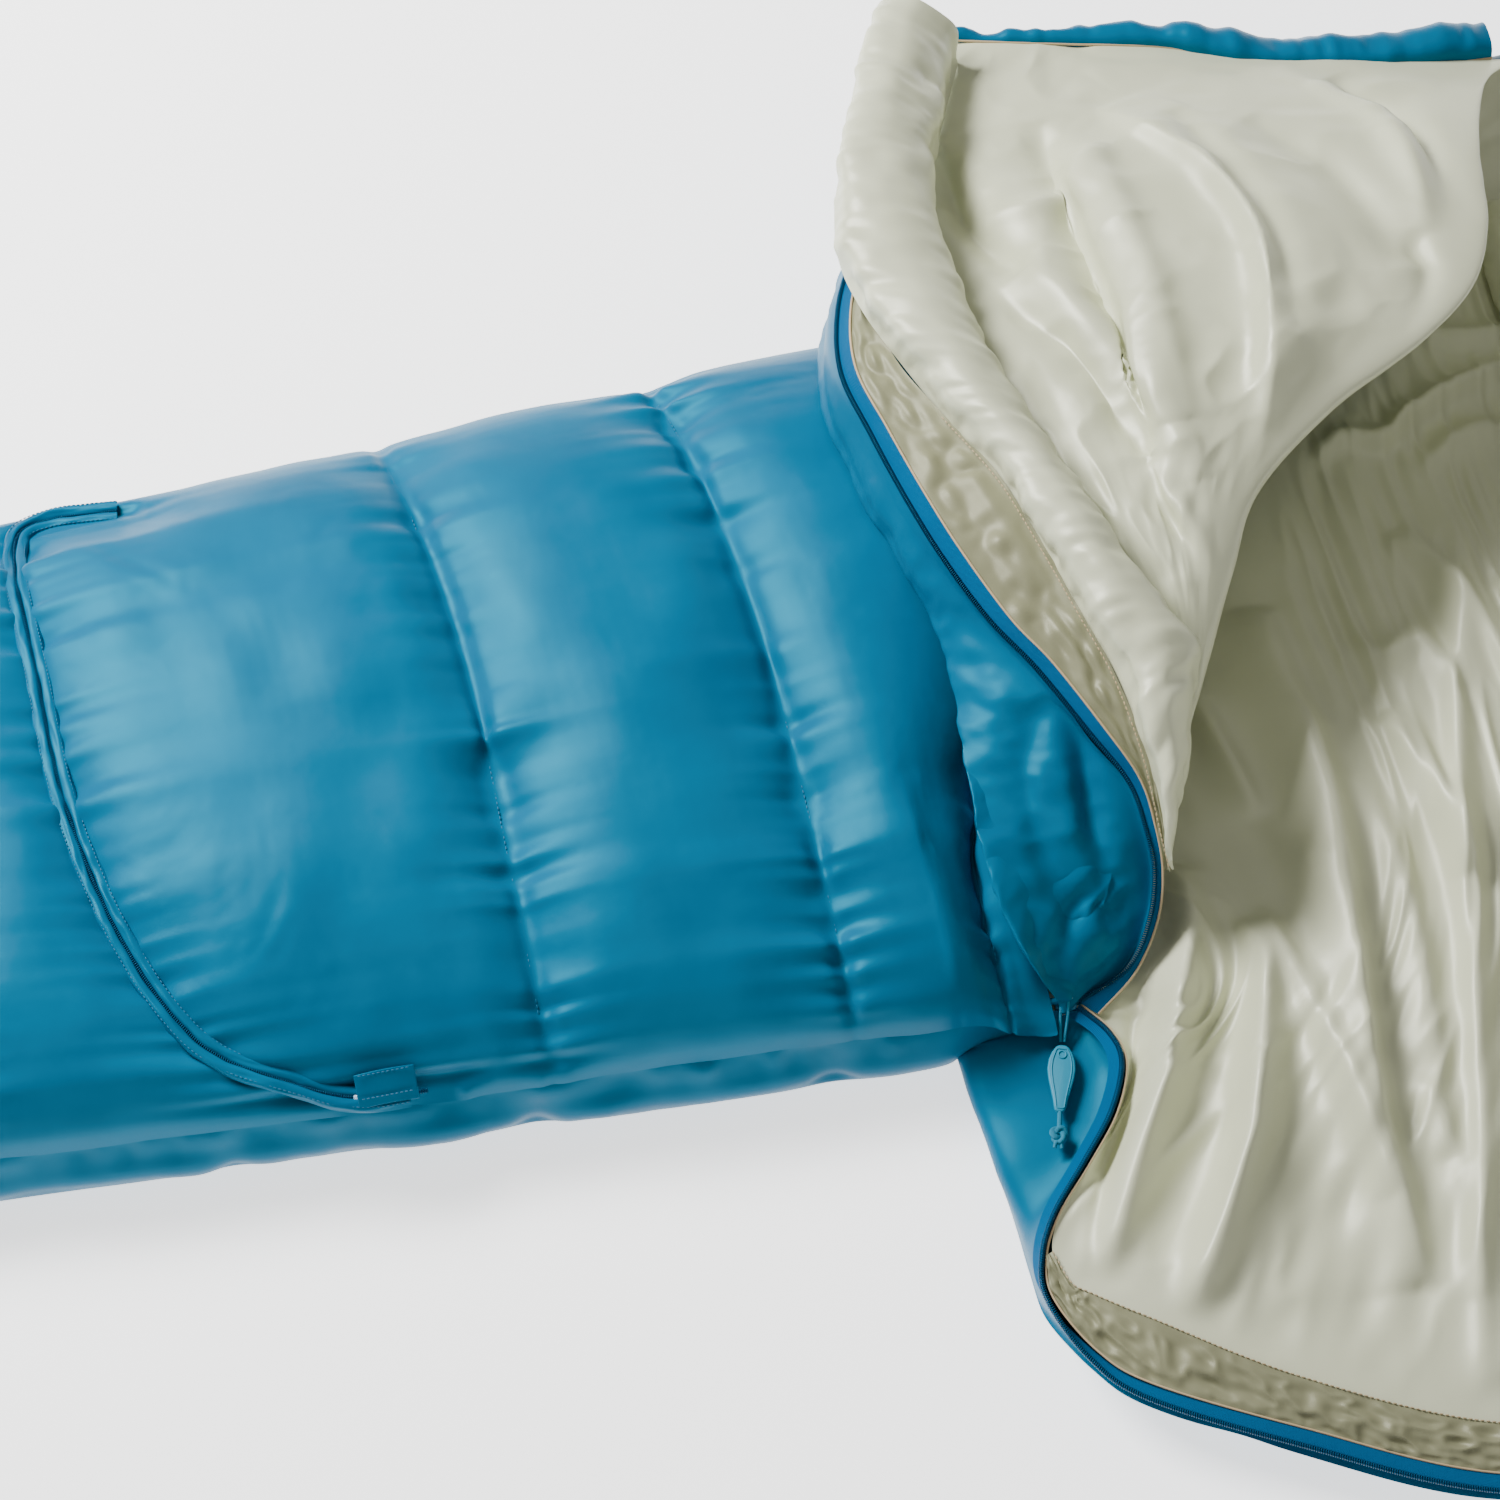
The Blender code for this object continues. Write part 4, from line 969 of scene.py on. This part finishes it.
def lower_skin():
    """The outside of the lower half: side strip, rounded edge and quilted underside in one skin."""
    top, out = outline_rows()
    bulge = []
    for (x, y, z), (ox, oy, oz) in zip(top, out):
        wide = smoothstep(math.hypot(ox - x, oy - y), 0.018, 0.045)
        share = 0.5 - 0.36 * wide
        height = (1 - wide) * (z * 0.45 + oz * 0.55) + wide * min(0.0335, z - 0.004)
        bulge.append((x + (ox - x) * share, y + (oy - y) * share, height))
    floor, under, spine = [], [], []
    for x, y, z in out:
        centre = np.array((np.clip(x, FOOT_X + 0.16, 0.58), AXIS_Y - 0.12 * smoothstep(x, 0, 0.5)))
        away = np.array((x, y)) - centre
        away /= max(np.linalg.norm(away), 1e-6)
        floor.append((x - away[0] * 0.010, y - away[1] * 0.010, 0.0035))
        under.append((x - away[0] * 0.034, y - away[1] * 0.034, 0.0012))
        spine.append((centre[0], centre[1], 0.0012))
    grid = ladder([top, bulge, out, floor, under, spine], 760, 46, guide=2)
    seams = list(SEAMS) + [SEAMS[3] + 0.1875, SEAMS[3] + 0.375, SEAMS[1] - 0.1875]
    gap = np.min([np.abs(grid[..., 0] - seam) for seam in seams], axis=0)
    share = np.linspace(0, 1, 46)[None, :]
    low = grid[..., 2] < 0.012
    pinch = np.exp(-(gap / 0.012) ** 2)
    out = normals(grid)
    out = out * np.sign((out * (grid - grid.mean(axis=(0, 1)))).sum(axis=2))[..., None]
    inward = np.where(low, 0.0, 0.006) * pinch * smoothstep(share, 0.02, 0.12)
    grid = grid - out * inward[..., None]
    grid[..., 2] += np.where(low, 0.0045 * np.exp(-(gap / 0.02) ** 2), 0)
    edge = np.linalg.norm(grid - grid[:, :1], axis=2)
    tall = smoothstep(0.055 - np.abs(grid[:, :1, 2] - 0.055), 0.036, 0.052)
    puckered = gathers(grid, edge, 41, 0.012, 0.0048, 0.018, 0)
    grid = grid + (puckered - grid) * (0.25 + 0.75 * tall)[..., None] * (~low)[..., None]
    wave = noise(44, grid.shape[:2], (70, 4), 3)
    grid = puffed(grid, wave * 0.0022 * smoothstep(share, 0.03, 0.12) * np.where(low, 0.2, 1.0))
    grid[..., 2] = np.maximum(grid[..., 2], 0.0002)
    grid[-1] = grid[0]
    piece = grid_object("lower_skin", grid)
    names = [f"bottom_chamber_{n}" for n in ("foot", "shin", "calf", "knee", "thigh", "hip", "shoulder")]
    dress(piece, SHELL, "bag",
          ["bottom_shell"] + names + ["near_side_channel", "far_side_channel", "foot_end_channel",
                                      "hood_near_panel", "hood_centre_panel", "hood_far_panel"])


LINING_FOLDS = [
    ([(199, 255), (197, 193), (200, 142), (196, 87), (181, -5), (166, -106),
      (164, -166), (162, -225)], 24, 13, 34),
    ([(345, 300), (335, 258), (303, 162), (281, 84), (254, -20), (229, -119),
      (200, -213), (173, -302)], 12, 20, 10),
    ([(127, 30), (122, -13), (103, -65), (80, -121), (51, -168), (15, -215)],
     24, 20, 12),
    ([(95, 80), (87, 30), (68, -16), (45, -66), (7, -126), (-25, -180)],
     22, 16, 16),
    ([(241, 215), (271, 202), (295, 203), (304, 162)], 5, 14, 16),
    ([(252, 158), (261, 125), (268, 86), (269, 30)], 12, 18, 10),
    ([(130, 205), (137, 182), (143, 147), (152, 100)], 12, 10, 12),
    ([(262, 352), (285, 366), (312, 358), (336, 372), (368, 384), (428, 400)], 14, 12, 7),
    ([(330, 330), (352, 345), (375, 352), (410, 350)], 8, 10, 10),
    ([(350, 440), (385, 425), (430, 420)], 10, 12, 12),
    ([(179, -115), (195, -103), (203, -125), (203, -179), (190, -240)], 5, 12, 14),
    ([(135, 38), (142, -20), (150, -80), (158, -169)], 8, 10, 10),
    ([(225, 120), (228, 40), (216, -60), (196, -150)], 10, 16, 24),
    ([(360, 240), (372, 120), (350, 0), (310, -130), (270, -260)], 16, 26, 16),
    ([(300, 290), (330, 230), (345, 150)], 10, 14, 14),
]
PLEAT = [(40, 30), (46, 0), (29, -42), (5, -92), (-35, -187)]


UP = (0, 0, 1)


def lower_lining():
    """The lining of the lower half, from the facing to the far side and into the closed tube."""
    far = [(-300, 440, 50), (-260, 450, 50), (-210, 460, 50), (-150, 470, 50),
           (-90, 480, 50), (-30, 490, 50), (30, 500, 50), (90, 512, 52),
           (150, 524, 54), (210, 535, 57), (270, 545, 62), (330, 556, 70),
           (390, 568, 80), (428, 580, 88)]
    upper = [(-260, 300, 38), (-200, 310, 38), (-140, 320, 38), (-80, 330, 38),
             (-30, 335, 38), (20, 340, 38), (70, 345, 38), (120, 350, 40),
             (170, 355, 42), (220, 360, 44), (270, 365, 47), (320, 370, 50),
             (380, 380, 53), (428, 390, 56)]
    middle = [(-30, 20, 40), (20, 22, 40), (64, 24, 40), (84, 26, 39),
              (106, 28, 38), (128, 30, 38), (148, 30, 38), (168, 30, 38),
              (193, 30, 38), (220, 30, 38), (265, 30, 38), (320, 30, 38),
              (380, 30, 38), (428, 30, 38)]
    edge = [(x, y, z - 0.0006) for x, y, z in FACING_IN]
    inner = [(x + (mx - x) * 0.28, y + (my - y) * 0.28, 0.0385) for (x, y, _), (mx, my, _)
             in zip(edge, near_zip(middle))]
    grid = ladder([edge, inner, near_zip(middle), near_zip(upper), near_zip(far)], 170, 190)
    flat = grid.copy()
    grid = folds(grid, LINING_FOLDS, 1.6, 0.85, 0.9, UP)
    grid = folds(grid, [(PLEAT, -12, 11, 6)], direction=UP)
    crumple = noise(41, grid.shape[:2], (20, 6), 2)
    grid[..., 2] += (0.5 - np.abs(crumple)) * 0.0055
    rim = np.linspace(0, 1, 190)[None, :]
    hold = smoothstep(rim, 0.0, 0.05) * smoothstep(1 - rim, 0.0, 0.04)
    grid = flat + (grid - flat) * hold[..., None]
    grid[..., 2] = np.maximum(grid[..., 2], LINING_LOW)
    pinned = np.zeros(grid.shape[:2])
    pinned[:, 0] = pinned[:, -1] = 1
    pinned[0] = pinned[-1] = 1
    grid = drape("lining_cloth", grid, pinned, cut=(1.012, 1.012), pressure=0.15, frames=16, cap=0.008)
    grid[..., 2] = np.maximum(grid[..., 2], LINING_LOW)
    piece = grid_object("lower_lining", grid)
    dress(piece, LINING, "bag", ["bottom_lining"])


def lower_zip():
    """The lower half of the main zip: tape, coil, piping, and the facing strip with its seam."""
    tape = [WALL_TOP, between_lines(WALL_TOP, LOWER_TAPE_EDGE, 0.5), LOWER_TAPE_EDGE]
    piece = grid_object("lower_tape", ladder(tape, 260, 8))
    dress(piece, TAPE, "bag", ["lower_zip_tape"])
    coil_along("lower_coil", lifted(WALL_TOP, 0.0006), "bag", ["lower_zip_chain"])
    tube_along("lower_piping", lifted(LOWER_TAN, 0.0004), 0.0007, PIPING, "bag", count=300)
    corner = 6           # the facing starts at the spread corner
    a, b = LOWER_TAN[corner:], lifted(FACING_IN[corner:], 0.0008)
    middle = lifted(between_lines(a, b, 0.5), 0.002)
    grid = ladder([a, middle, b], 300, 22)
    bump = 0.6 - 1.4 * np.abs(noise(52, grid.shape[:2], (30, 2), 2))
    across = np.sin(np.linspace(0, math.pi, 22)) ** 0.6
    grid = puffed(grid, bump * across[None, :] * 0.0034)
    edge = np.linalg.norm(grid - grid[:, :1], axis=2)
    grid = gathers(grid, edge, 53, 0.006, 0.0016, 0.006, 0)
    grid[..., 2] = np.maximum(grid[..., 2], 0.0352)
    piece = grid_object("lower_facing_strip", grid)
    dress(piece, FACING, "bag", ["lower_facing"])
    stitches("lower_facing_stitches", lifted(b, 0.0008), PIPING, "bag")


# D. The hood and the draft collar

def hood():
    """The hood's lining in three panels, and the cord channel round its edge."""
    names = ["near", "centre", "far"]
    steps = [(0.0, -1.0), (0.38, -0.94), (0.74, -0.72), (0.95, -0.38), (1.0, 0.0), (0.95, 0.38), (0.74, 0.72),
             (0.38, 0.94), (0.0, 1.0)]
    rim = [(NECK_X + (HEAD_X - NECK_X) * a * 0.99, HOOD_MIDDLE + HOOD_REACH * b * 0.985, 0.0352)
           for a, b in steps]
    inner = [(NECK_X + 0.03 + (HEAD_X - NECK_X - 0.05) * a * 0.86, HOOD_MIDDLE + HOOD_REACH * b * 0.86, 0.0400)
             for a, b in steps]
    neck = [(NECK_X - 0.014, HOOD_MIDDLE + HOOD_REACH * b * 0.975, 0.0352) for b in np.linspace(-1, 1, 9)]
    for end in (0, -1):
        inner[end] = between_lines(rim, neck, 0.35)[end]
    middle = between_lines(inner, neck, 0.5)
    grid = ladder([rim, inner, middle, neck], 170, 90)
    middle = np.sin(np.linspace(0, math.pi, 90))
    grid[..., 2] += 0.003 * noise(61, grid.shape[:2], (14, 8), 2) * middle
    third = HOOD_REACH * 0.36
    for seam in (HOOD_MIDDLE - third, HOOD_MIDDLE + third):
        gap = np.abs(grid[..., 1] - seam)
        grid[..., 2] -= 0.0035 * np.exp(-(gap / 0.010) ** 2)
    grid[..., 2] = np.maximum(grid[..., 2], LINING_LOW)
    pinned = np.zeros(grid.shape[:2])
    pinned[:, 0] = pinned[:, -1] = pinned[0] = pinned[-1] = 1
    for seam in (HOOD_MIDDLE - third, HOOD_MIDDLE + third):
        pinned[np.abs(grid[..., 1] - seam) < 0.0022] = 1
    grid = drape("hood_cloth", grid, pinned, cut=(1.03, 1.03), pressure=0.4, frames=16, cap=0.010)
    piece = grid_object("hood_lining_skin", grid)
    dress(piece, LINING, "bag", [f"hood_{n}_lining" for n in names])
    path = [(NECK_X, HOOD_MIDDLE - HOOD_REACH * 1.0, 0.0362)] + \
        [(NECK_X + (HEAD_X - NECK_X) * a, HOOD_MIDDLE + HOOD_REACH * b, 0.0362) for a, b in steps[1:-1]] + \
        [(NECK_X, HOOD_MIDDLE + HOOD_REACH, 0.0400)]
    tube_along("hood_drawcord_channel", path, 0.0042, SHELL, "bag", count=300, sides=12)


def far_wall():
    """Where the flap is sewn to the hood: a raised edge, lining inside and shell outside."""
    top = near_zip([(448, 618, 106.5), (500, 622, 98), (545, 606, 82), (600, 570, 62),
                    (655, 510, 46), (690, 440, 38)])
    low_in = near_zip([(372, 500, 62), (450, 520, 52), (525, 500, 43), (575, 470, 41),
                       (620, 430, 40), (660, 385, 38)])
    middle = [(x, y, z - 0.008) for x, y, z in between_lines(top, low_in, 0.5)]
    grid = ladder([top, middle, low_in], 80, 50)
    grid = puffed(grid, 0.004 * noise(63, grid.shape[:2], (9, 5), 2) * np.sin(np.linspace(0, math.pi, 50)))
    piece = grid_object("hood_far_wall_lining", grid)
    dress(piece, LINING, "bag")
    foot = near_zip([(440, 590, 30), (490, 590, 28), (540, 570, 26), (600, 530, 26),
                     (650, 470, 26), (700, 400, 26)])
    puff = [(x + 0.006, y + 0.026, z) for x, y, z in between_lines(top, foot, 0.25)]
    grid = ladder([top, puff, foot], 90, 40)
    grid = puffed(grid, 0.004 * noise(64, grid.shape[:2], (12, 4), 2) * np.sin(np.linspace(0, math.pi, 40)))
    grid[..., 1] = np.minimum(grid[..., 1], BACK_Y)
    piece = grid_object("hood_far_wall_shell", grid)
    dress(piece, SHELL, "bag")
    tube_along("hood_far_wall_piping", lifted(top, 0.0005), 0.0009, PIPING, "bag")


def draft_collar():
    """A padded roll across the neck."""
    low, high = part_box("draft_collar")
    high = high + Vector((0, 0.055, 0))
    width, height = high.x - low.x, high.z - low.z
    middle = (low.x + high.x) / 2
    shares = [0.0, 0.06, 0.16, 0.35, 0.55, 0.75, 0.90, 0.97, 1.0]
    size = [0.03, 0.70, 0.95, 1.0, 0.97, 1.0, 0.96, 0.74, 0.03]
    lines = []
    for dx, dz in ((-0.40, 0.08), (-0.52, 0.42), (-0.30, 0.88), (0.05, 1.02), (0.34, 0.86), (0.52, 0.42),
                   (0.40, 0.08)):
        lines.append([(middle + dx * width * s - 0.014 * t ** 3, low.y + (high.y - low.y) * t,
                       low.z + 0.002 + dz * height * s + 0.026 * t ** 4) for t, s in zip(shares, size)])
    grid = ladder(lines, 210, 46)
    pucker = noise(71, grid.shape[:2], (52, 2), 2)
    broad = noise(72, grid.shape[:2], (14, 3), 2)
    rim = np.linspace(0, 1, 46)
    hold = (0.3 + 0.7 * np.abs(rim - 0.5) * 2)[None, :]
    grid = puffed(grid, (pucker * 0.0026 + broad * 0.0035) * hold)
    piece = grid_object("draft_collar_roll", grid)
    dress(piece, LINING, "bag", ["draft_collar"])


def ceiling_lining():
    """The closed tube's inner lining over the sleeper."""
    rows = np.arange(FOOT_X + 0.012, REACH_X, 0.010)
    turn = np.linspace(-1, 1, 60)
    x_even = np.repeat(rows[:, None], 60, axis=1)
    y = AXIS_Y + (half_width(x_even) - 0.008) * turn[None, :]
    knee = ZIP[0] - 0.06
    fold_x = mouth_x(y)
    beyond = np.clip((x_even - knee) / (REACH_X - knee), 0, 1)
    x = np.where(x_even > knee, knee + (fold_x - 0.010 - knee) * beyond, x_even)
    z = 0.045 + (CEILING - 0.002 - 0.045) * (1 - np.abs(turn) ** 6)[None, :] + np.zeros_like(x)
    grid = np.stack([x, y, z], axis=2)
    grid = puffed(grid, 0.0025 * noise(81, grid.shape[:2], (40, 14), 2))
    piece = grid_object("ceiling_lining", grid)
    dress(piece, LINING, "bag", ["top_lining"])


# E. The extension zip across the calf

def ring_height(points, tube):
    """The height of the tube's skin over each point in plan."""
    flat = tube.reshape(-1, 3)
    heights = []
    for x, y in points:
        d = (flat[:, 0] - x) ** 2 + (flat[:, 1] - y) ** 2
        near_few = np.argsort(d)[:4]
        heights.append(flat[near_few, 2].max())
    return np.array(heights)


def ring_zip(tube):
    """The extension zip, lying on the tube: two covering bands, their stitching and the coil between them."""
    line = RING[2:-2]
    z = ring_height(line, tube)
    z = np.convolve(np.pad(z, 4, mode="edge"), np.ones(9) / 9, mode="valid") + 0.0022
    path = np.column_stack([line, z])
    run = np.gradient(line, axis=0)
    run /= np.linalg.norm(run, axis=1, keepdims=True)
    side = np.column_stack([-run[:, 1], run[:, 0], np.zeros(len(run))])
    for name, sign, node in (("leg", 1, "extension_tape_leg"), ("foot", -1, "extension_tape_foot")):
        lines = []
        for out, up in ((0.0006, -0.0005), (0.0018, 0.0016), (0.0045, 0.0022), (0.0075, 0.0008),
                        (0.0085, -0.0030)):
            lines.append([tuple(p + s * sign * out + np.array((0, 0, up))) for p, s in zip(path, side)][::4])
        grid = ladder(lines, 220, 14)
        wave = noise(91 + sign, grid.shape[:2], (40, 2), 2)
        grid = puffed(grid, wave * 0.0007)
        piece = grid_object(f"extension_band_{name}", grid)
        dress(piece, SHELL, "bag", [node])
        edge = [tuple(p + s * sign * 0.0068 + np.array((0, 0, 0.0014))) for p, s in zip(path, side)][::4]
        stitches(f"extension_stitches_{name}", edge, THREAD, "bag", pitch=0.0030)
    coil_along("extension_coil", lifted(path[::6], -0.0008), "bag", ["extension_chain", "extension_gusset"])
    return path


def extension_slider(path):
    """The extension zip's own small slider, closed up against the tab."""
    place = path[-9]
    run = path[-5] - path[-13]
    turn = math.degrees(math.atan2(run[1], run[0]))
    shape = [(-0.0070, 0.0024), (-0.004, 0.0030), (0.0, 0.0036), (0.004, 0.0044), (0.0068, 0.0034),
             (0.0060, 0.0)]
    shape = shape + [(x, -y) for x, y in shape[::-1][1:]]
    outline = turned(shape[::-1], place[:2], turn)
    blob("extension_slider_plate", outline, place[2] + 0.0010, place[2] + 0.0026, METAL, "bag",
         ["extension_slider"], 0.0006)
    bail = turned([(-0.004, 0), (-0.003, 0), (0.0, 0), (0.003, 0), (0.004, 0)], place[:2], turn)
    heights = (0.0022, 0.0040, 0.0046, 0.0040, 0.0022)
    bridge = [(x, y, place[2] + h) for (x, y), h in zip(bail, heights)]
    tube_along("extension_slider_bridge", bridge, 0.0006, METAL,
               "bag", count=30, sides=10)


def tab():
    """The sewn tab over the end of the extension zip."""
    centre = (ZIP[0] - 0.420, ZIP[1] + 0.016)
    half, reach = 0.0185, 0.0070
    lines = []
    for v in (-1.25, -1.0, -0.5, 0.0, 0.5, 1.0):
        y = centre[1] + v * reach
        z = 0.0785 + 0.0058 * v - 0.004 * max(-v - 0.6, 0)
        lines.append([(centre[0] + u * half, y, z + 0.0016 * (1 - u * u))
                      for u in (-1, -0.9, -0.4, 0, 0.4, 0.9, 1)])
    grid = ladder(lines, 40, 26)
    piece = grid_object("extension_tab", grid)
    thick = piece.modifiers.new("thick", "SOLIDIFY")
    thick.thickness, thick.offset = 0.0014, -1
    dress(piece, SHELL, "bag", ["garage_tab"])
    for index, v in enumerate((-0.8, 0.8)):
        row = [(centre[0] + u * half * 0.86, centre[1] + v * reach, 0.0806 + 0.0058 * v) for u in (-1, 0, 1)]
        stitches(f"extension_tab_stitches_{index}", row, THREAD, "bag", pitch=0.0028)


# F. The slider and its pull

def blob(name, outline, low, high, material, body, replaces=(), bevel=0.0012):
    """A rounded plate from an outline in plan."""
    count = len(outline)
    verts = [(x, y, low) for x, y in outline] + [(x, y, high) for x, y in outline]
    faces = [tuple(range(count))[::-1], tuple(range(count, 2 * count))]
    faces += [(k, (k + 1) % count, count + (k + 1) % count, count + k) for k in range(count)]
    mesh = bpy.data.meshes.new(name)
    mesh.from_pydata(verts, [], faces)
    mesh.uv_layers.new(name="metres")
    piece = placed(name, mesh)
    edge = piece.modifiers.new("rounded", "BEVEL")
    edge.width, edge.segments, edge.limit_method = bevel, 4, "ANGLE"
    return dress(piece, material, body, replaces, subdivide=0)


def turned(points, centre, degrees):
    a = math.radians(degrees)
    return [(centre[0] + x * math.cos(a) - y * math.sin(a), centre[1] + x * math.sin(a) + y * math.cos(a))
            for x, y in points]


def slider():
    """The main slider: two plates, the post between them and the bail over them."""
    low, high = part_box("slider_body")
    length, width = high.x - low.x, high.y - low.y
    side = [(-0.5, 0.30), (-0.36, 0.36), (-0.1, 0.40), (0.15, 0.50), (0.36, 0.46), (0.48, 0.30), (0.40, 0.10),
            (0.36, 0.0)]
    shape = [(x * length, y * width) for x, y in side] + [(x * length, -y * width) for x, y in side[::-1][1:]]
    shape = shape[::-1]
    outline = turned(shape, ((low.x + high.x) / 2, (low.y + high.y) / 2), 0)
    plate = (high.z - low.z) * 0.26
    blob("slider_lower_plate", outline, low.z, low.z + plate, METAL, "slider",
         ["slider_body"], 0.0006)
    blob("slider_upper_plate", outline, high.z - plate, high.z, METAL, "slider", (), 0.0006)
    post = turned([(-0.0025, -0.0012), (0.0025, -0.0012), (0.0025, 0.0012), (-0.0025, 0.0012)],
                  (high.x - length * 0.22, (low.y + high.y) / 2), 0)
    blob("slider_post", post, low.z + plate * 0.5, high.z - plate * 0.5, METAL, "slider",
         (), 0.0004)
    a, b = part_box("slider_bail")
    y = (a.y + b.y) / 2
    bail = [(a.x + 0.0012, y, a.z - 0.001), (a.x + 0.0010, y, a.z + 0.0035), (a.x + 0.0035, y, b.z - 0.001),
            ((a.x + b.x) / 2, y, b.z - 0.0007), (b.x - 0.0035, y, b.z - 0.001), (b.x - 0.0010, y, a.z + 0.0035),
            (b.x - 0.0012, y, a.z - 0.001)]
    tube_along("slider_bridge", bail, 0.0008, METAL, "slider", count=60, sides=12,
               replaces=["slider_bail"])


def pull():
    """The pull: cord loop, soft grip, and a knotted tail."""
    loop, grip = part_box("pull_cord_loop"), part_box("pull_grip")
    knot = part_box("pull_knot")
    eye = Vector((0.0735, loop[1].y, 0))
    lead = Vector(((knot[0].x + knot[1].x) / 2, (knot[0].y + knot[1].y) / 2, 0)) - eye
    lead.normalize()
    side = Vector((-lead.y, lead.x, 0))
    start = Vector((0.0732, loop[1].y - 0.0016, 0))
    mid_z = (grip[0].z + grip[1].z) / 2
    cord = ((0.0, 0.0009, 0.0488), (0.006, 0.0022, 0.0482), (0.014, 0.0022, 0.0440), (0.022, 0.0014, 0.0395),
            (0.027, 0.0010, mid_z))
    line = [start + lead * a + side * c + Vector((0, 0, z)) for a, c, z in cord]
    back = [start + lead * a - side * c + Vector((0, 0, z)) for a, c, z in cord[::-1]]
    nose = [start - lead * 0.0008 + Vector((0, 0, 0.0478))]
    tube_along("pull_loop", [tuple(p) for p in back + nose + line], 0.00095, CORD, "pull", count=160,
               sides=10, replaces=["pull_cord_loop"])
    centre = (Vector((grip[0].x + grip[1].x, grip[0].y + grip[1].y, 0)) / 2)
    half = 0.0225
    widths = [(-1.0, 0.0022), (-0.93, 0.0042), (-0.78, 0.0064), (-0.55, 0.0082), (-0.28, 0.0088), (0.0, 0.0080),
              (0.3, 0.0064), (0.6, 0.0048), (0.85, 0.0038), (0.96, 0.0030), (1.0, 0.0014)]
    edge = [centre + lead * half * t + side * w for t, w in widths]
    edge += [centre + lead * half * t - side * w for t, w in widths[::-1]]
    outline = [(p.x, p.y) for p in edge]
    blob("pull_grip_body", outline[::-1], grip[0].z + 0.0004, grip[1].z - 0.0002, GRIP, "pull",
         ["pull_grip"], 0.0012)
    top = grip[1].z
    eyelet = centre - lead * half * 0.70
    ring = [(eyelet.x + 0.0024 * math.cos(a), eyelet.y + 0.0024 * math.sin(a), top)
            for a in np.linspace(0, 2 * math.pi, 13)]
    tube_along("pull_grip_eyelet", ring, 0.0006, GRIP, "pull", count=50, sides=10)
    rim = [centre + lead * half * t * 0.93 + side * w * 0.70 for t, w in widths[1:-1]]
    rim += [centre + lead * half * t * 0.93 - side * w * 0.70 for t, w in widths[1:-1][::-1]]
    tube_along("pull_grip_rim", [(p.x, p.y, top - 0.0001) for p in rim + rim[:1]], 0.0005, GRIP, "pull",
               count=120, sides=10)
    tube_along("pull_tail_cord", [tuple(centre + lead * half * 0.9 + Vector((0, 0, mid_z))),
                                  tuple(centre + lead * (half + 0.006) + Vector((0, 0, mid_z))),
                                  tuple(Vector((knot[0] + knot[1]) / 2))], 0.0015, CORD, "pull", count=40,
               sides=12, replaces=["pull_tail"])
    middle = Vector((knot[0] + knot[1]) / 2)
    turns = np.linspace(0, 2 * math.pi, 60)
    path = []
    for a in turns:
        r = 0.0032 + 0.0012 * math.cos(3 * a)
        across = side * (r * math.sin(2 * a)) + Vector((0, 0, 0.0013 * math.sin(3 * a)))
        path.append(tuple(middle + lead * (r * math.cos(2 * a)) * 1.1 + across))
    tube_along("pull_knot_cord", path, 0.0017, CORD, "pull", count=240, sides=12,
               replaces=["pull_knot"])
    for sign in (-1, 1):
        end = [middle + lead * 0.002, middle + lead * 0.005 + side * 0.0016 * sign,
               middle + lead * 0.0085 + side * 0.0022 * sign + Vector((0, 0, -0.001))]
        tube_along(f"pull_end_{'a' if sign < 0 else 'b'}", [tuple(p) for p in end], 0.0012, CORD, "pull",
                   count=20, sides=10)


def zip_patch():
    """The patch sewn over the closed zip behind the slider, and the welt covering the zip from there on."""
    low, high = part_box("zip_end_patch")
    xs, ys = np.linspace(low.x, high.x, 7), np.linspace(low.y, high.y, 6)
    lines = [[(x, y, high.z + 0.004 + 0.0012 * (1 - ((x - xs[3]) / 0.01) ** 2)) for x in xs] for y in ys]
    piece = grid_object("zip_stop_patch", ladder(lines, 30, 24))
    thick = piece.modifiers.new("thick", "SOLIDIFY")
    thick.thickness, thick.offset = 0.0010, -1
    dress(piece, TAPE, "bag", ["zip_end_patch", "upper_zip_tape", "upper_zip_chain"])
    closed = near_zip([(-300, 12, 56), (-200, 8, 56), (-100, 5, 56),
                       (-50, 3, 54), (-20, 1, 50), (0, 0, 46)])
    tube_along("closed_zip_welt", closed, 0.0022, SHELL, "bag", count=200, sides=10)


tube = tube_shell()
flap()
lower_skin()
lower_lining()
lower_zip()
hood()
draft_collar()
far_wall()
ceiling_lining()
ring_path = ring_zip(tube)
extension_slider(ring_path)
tab()
slider()
pull()
zip_patch()
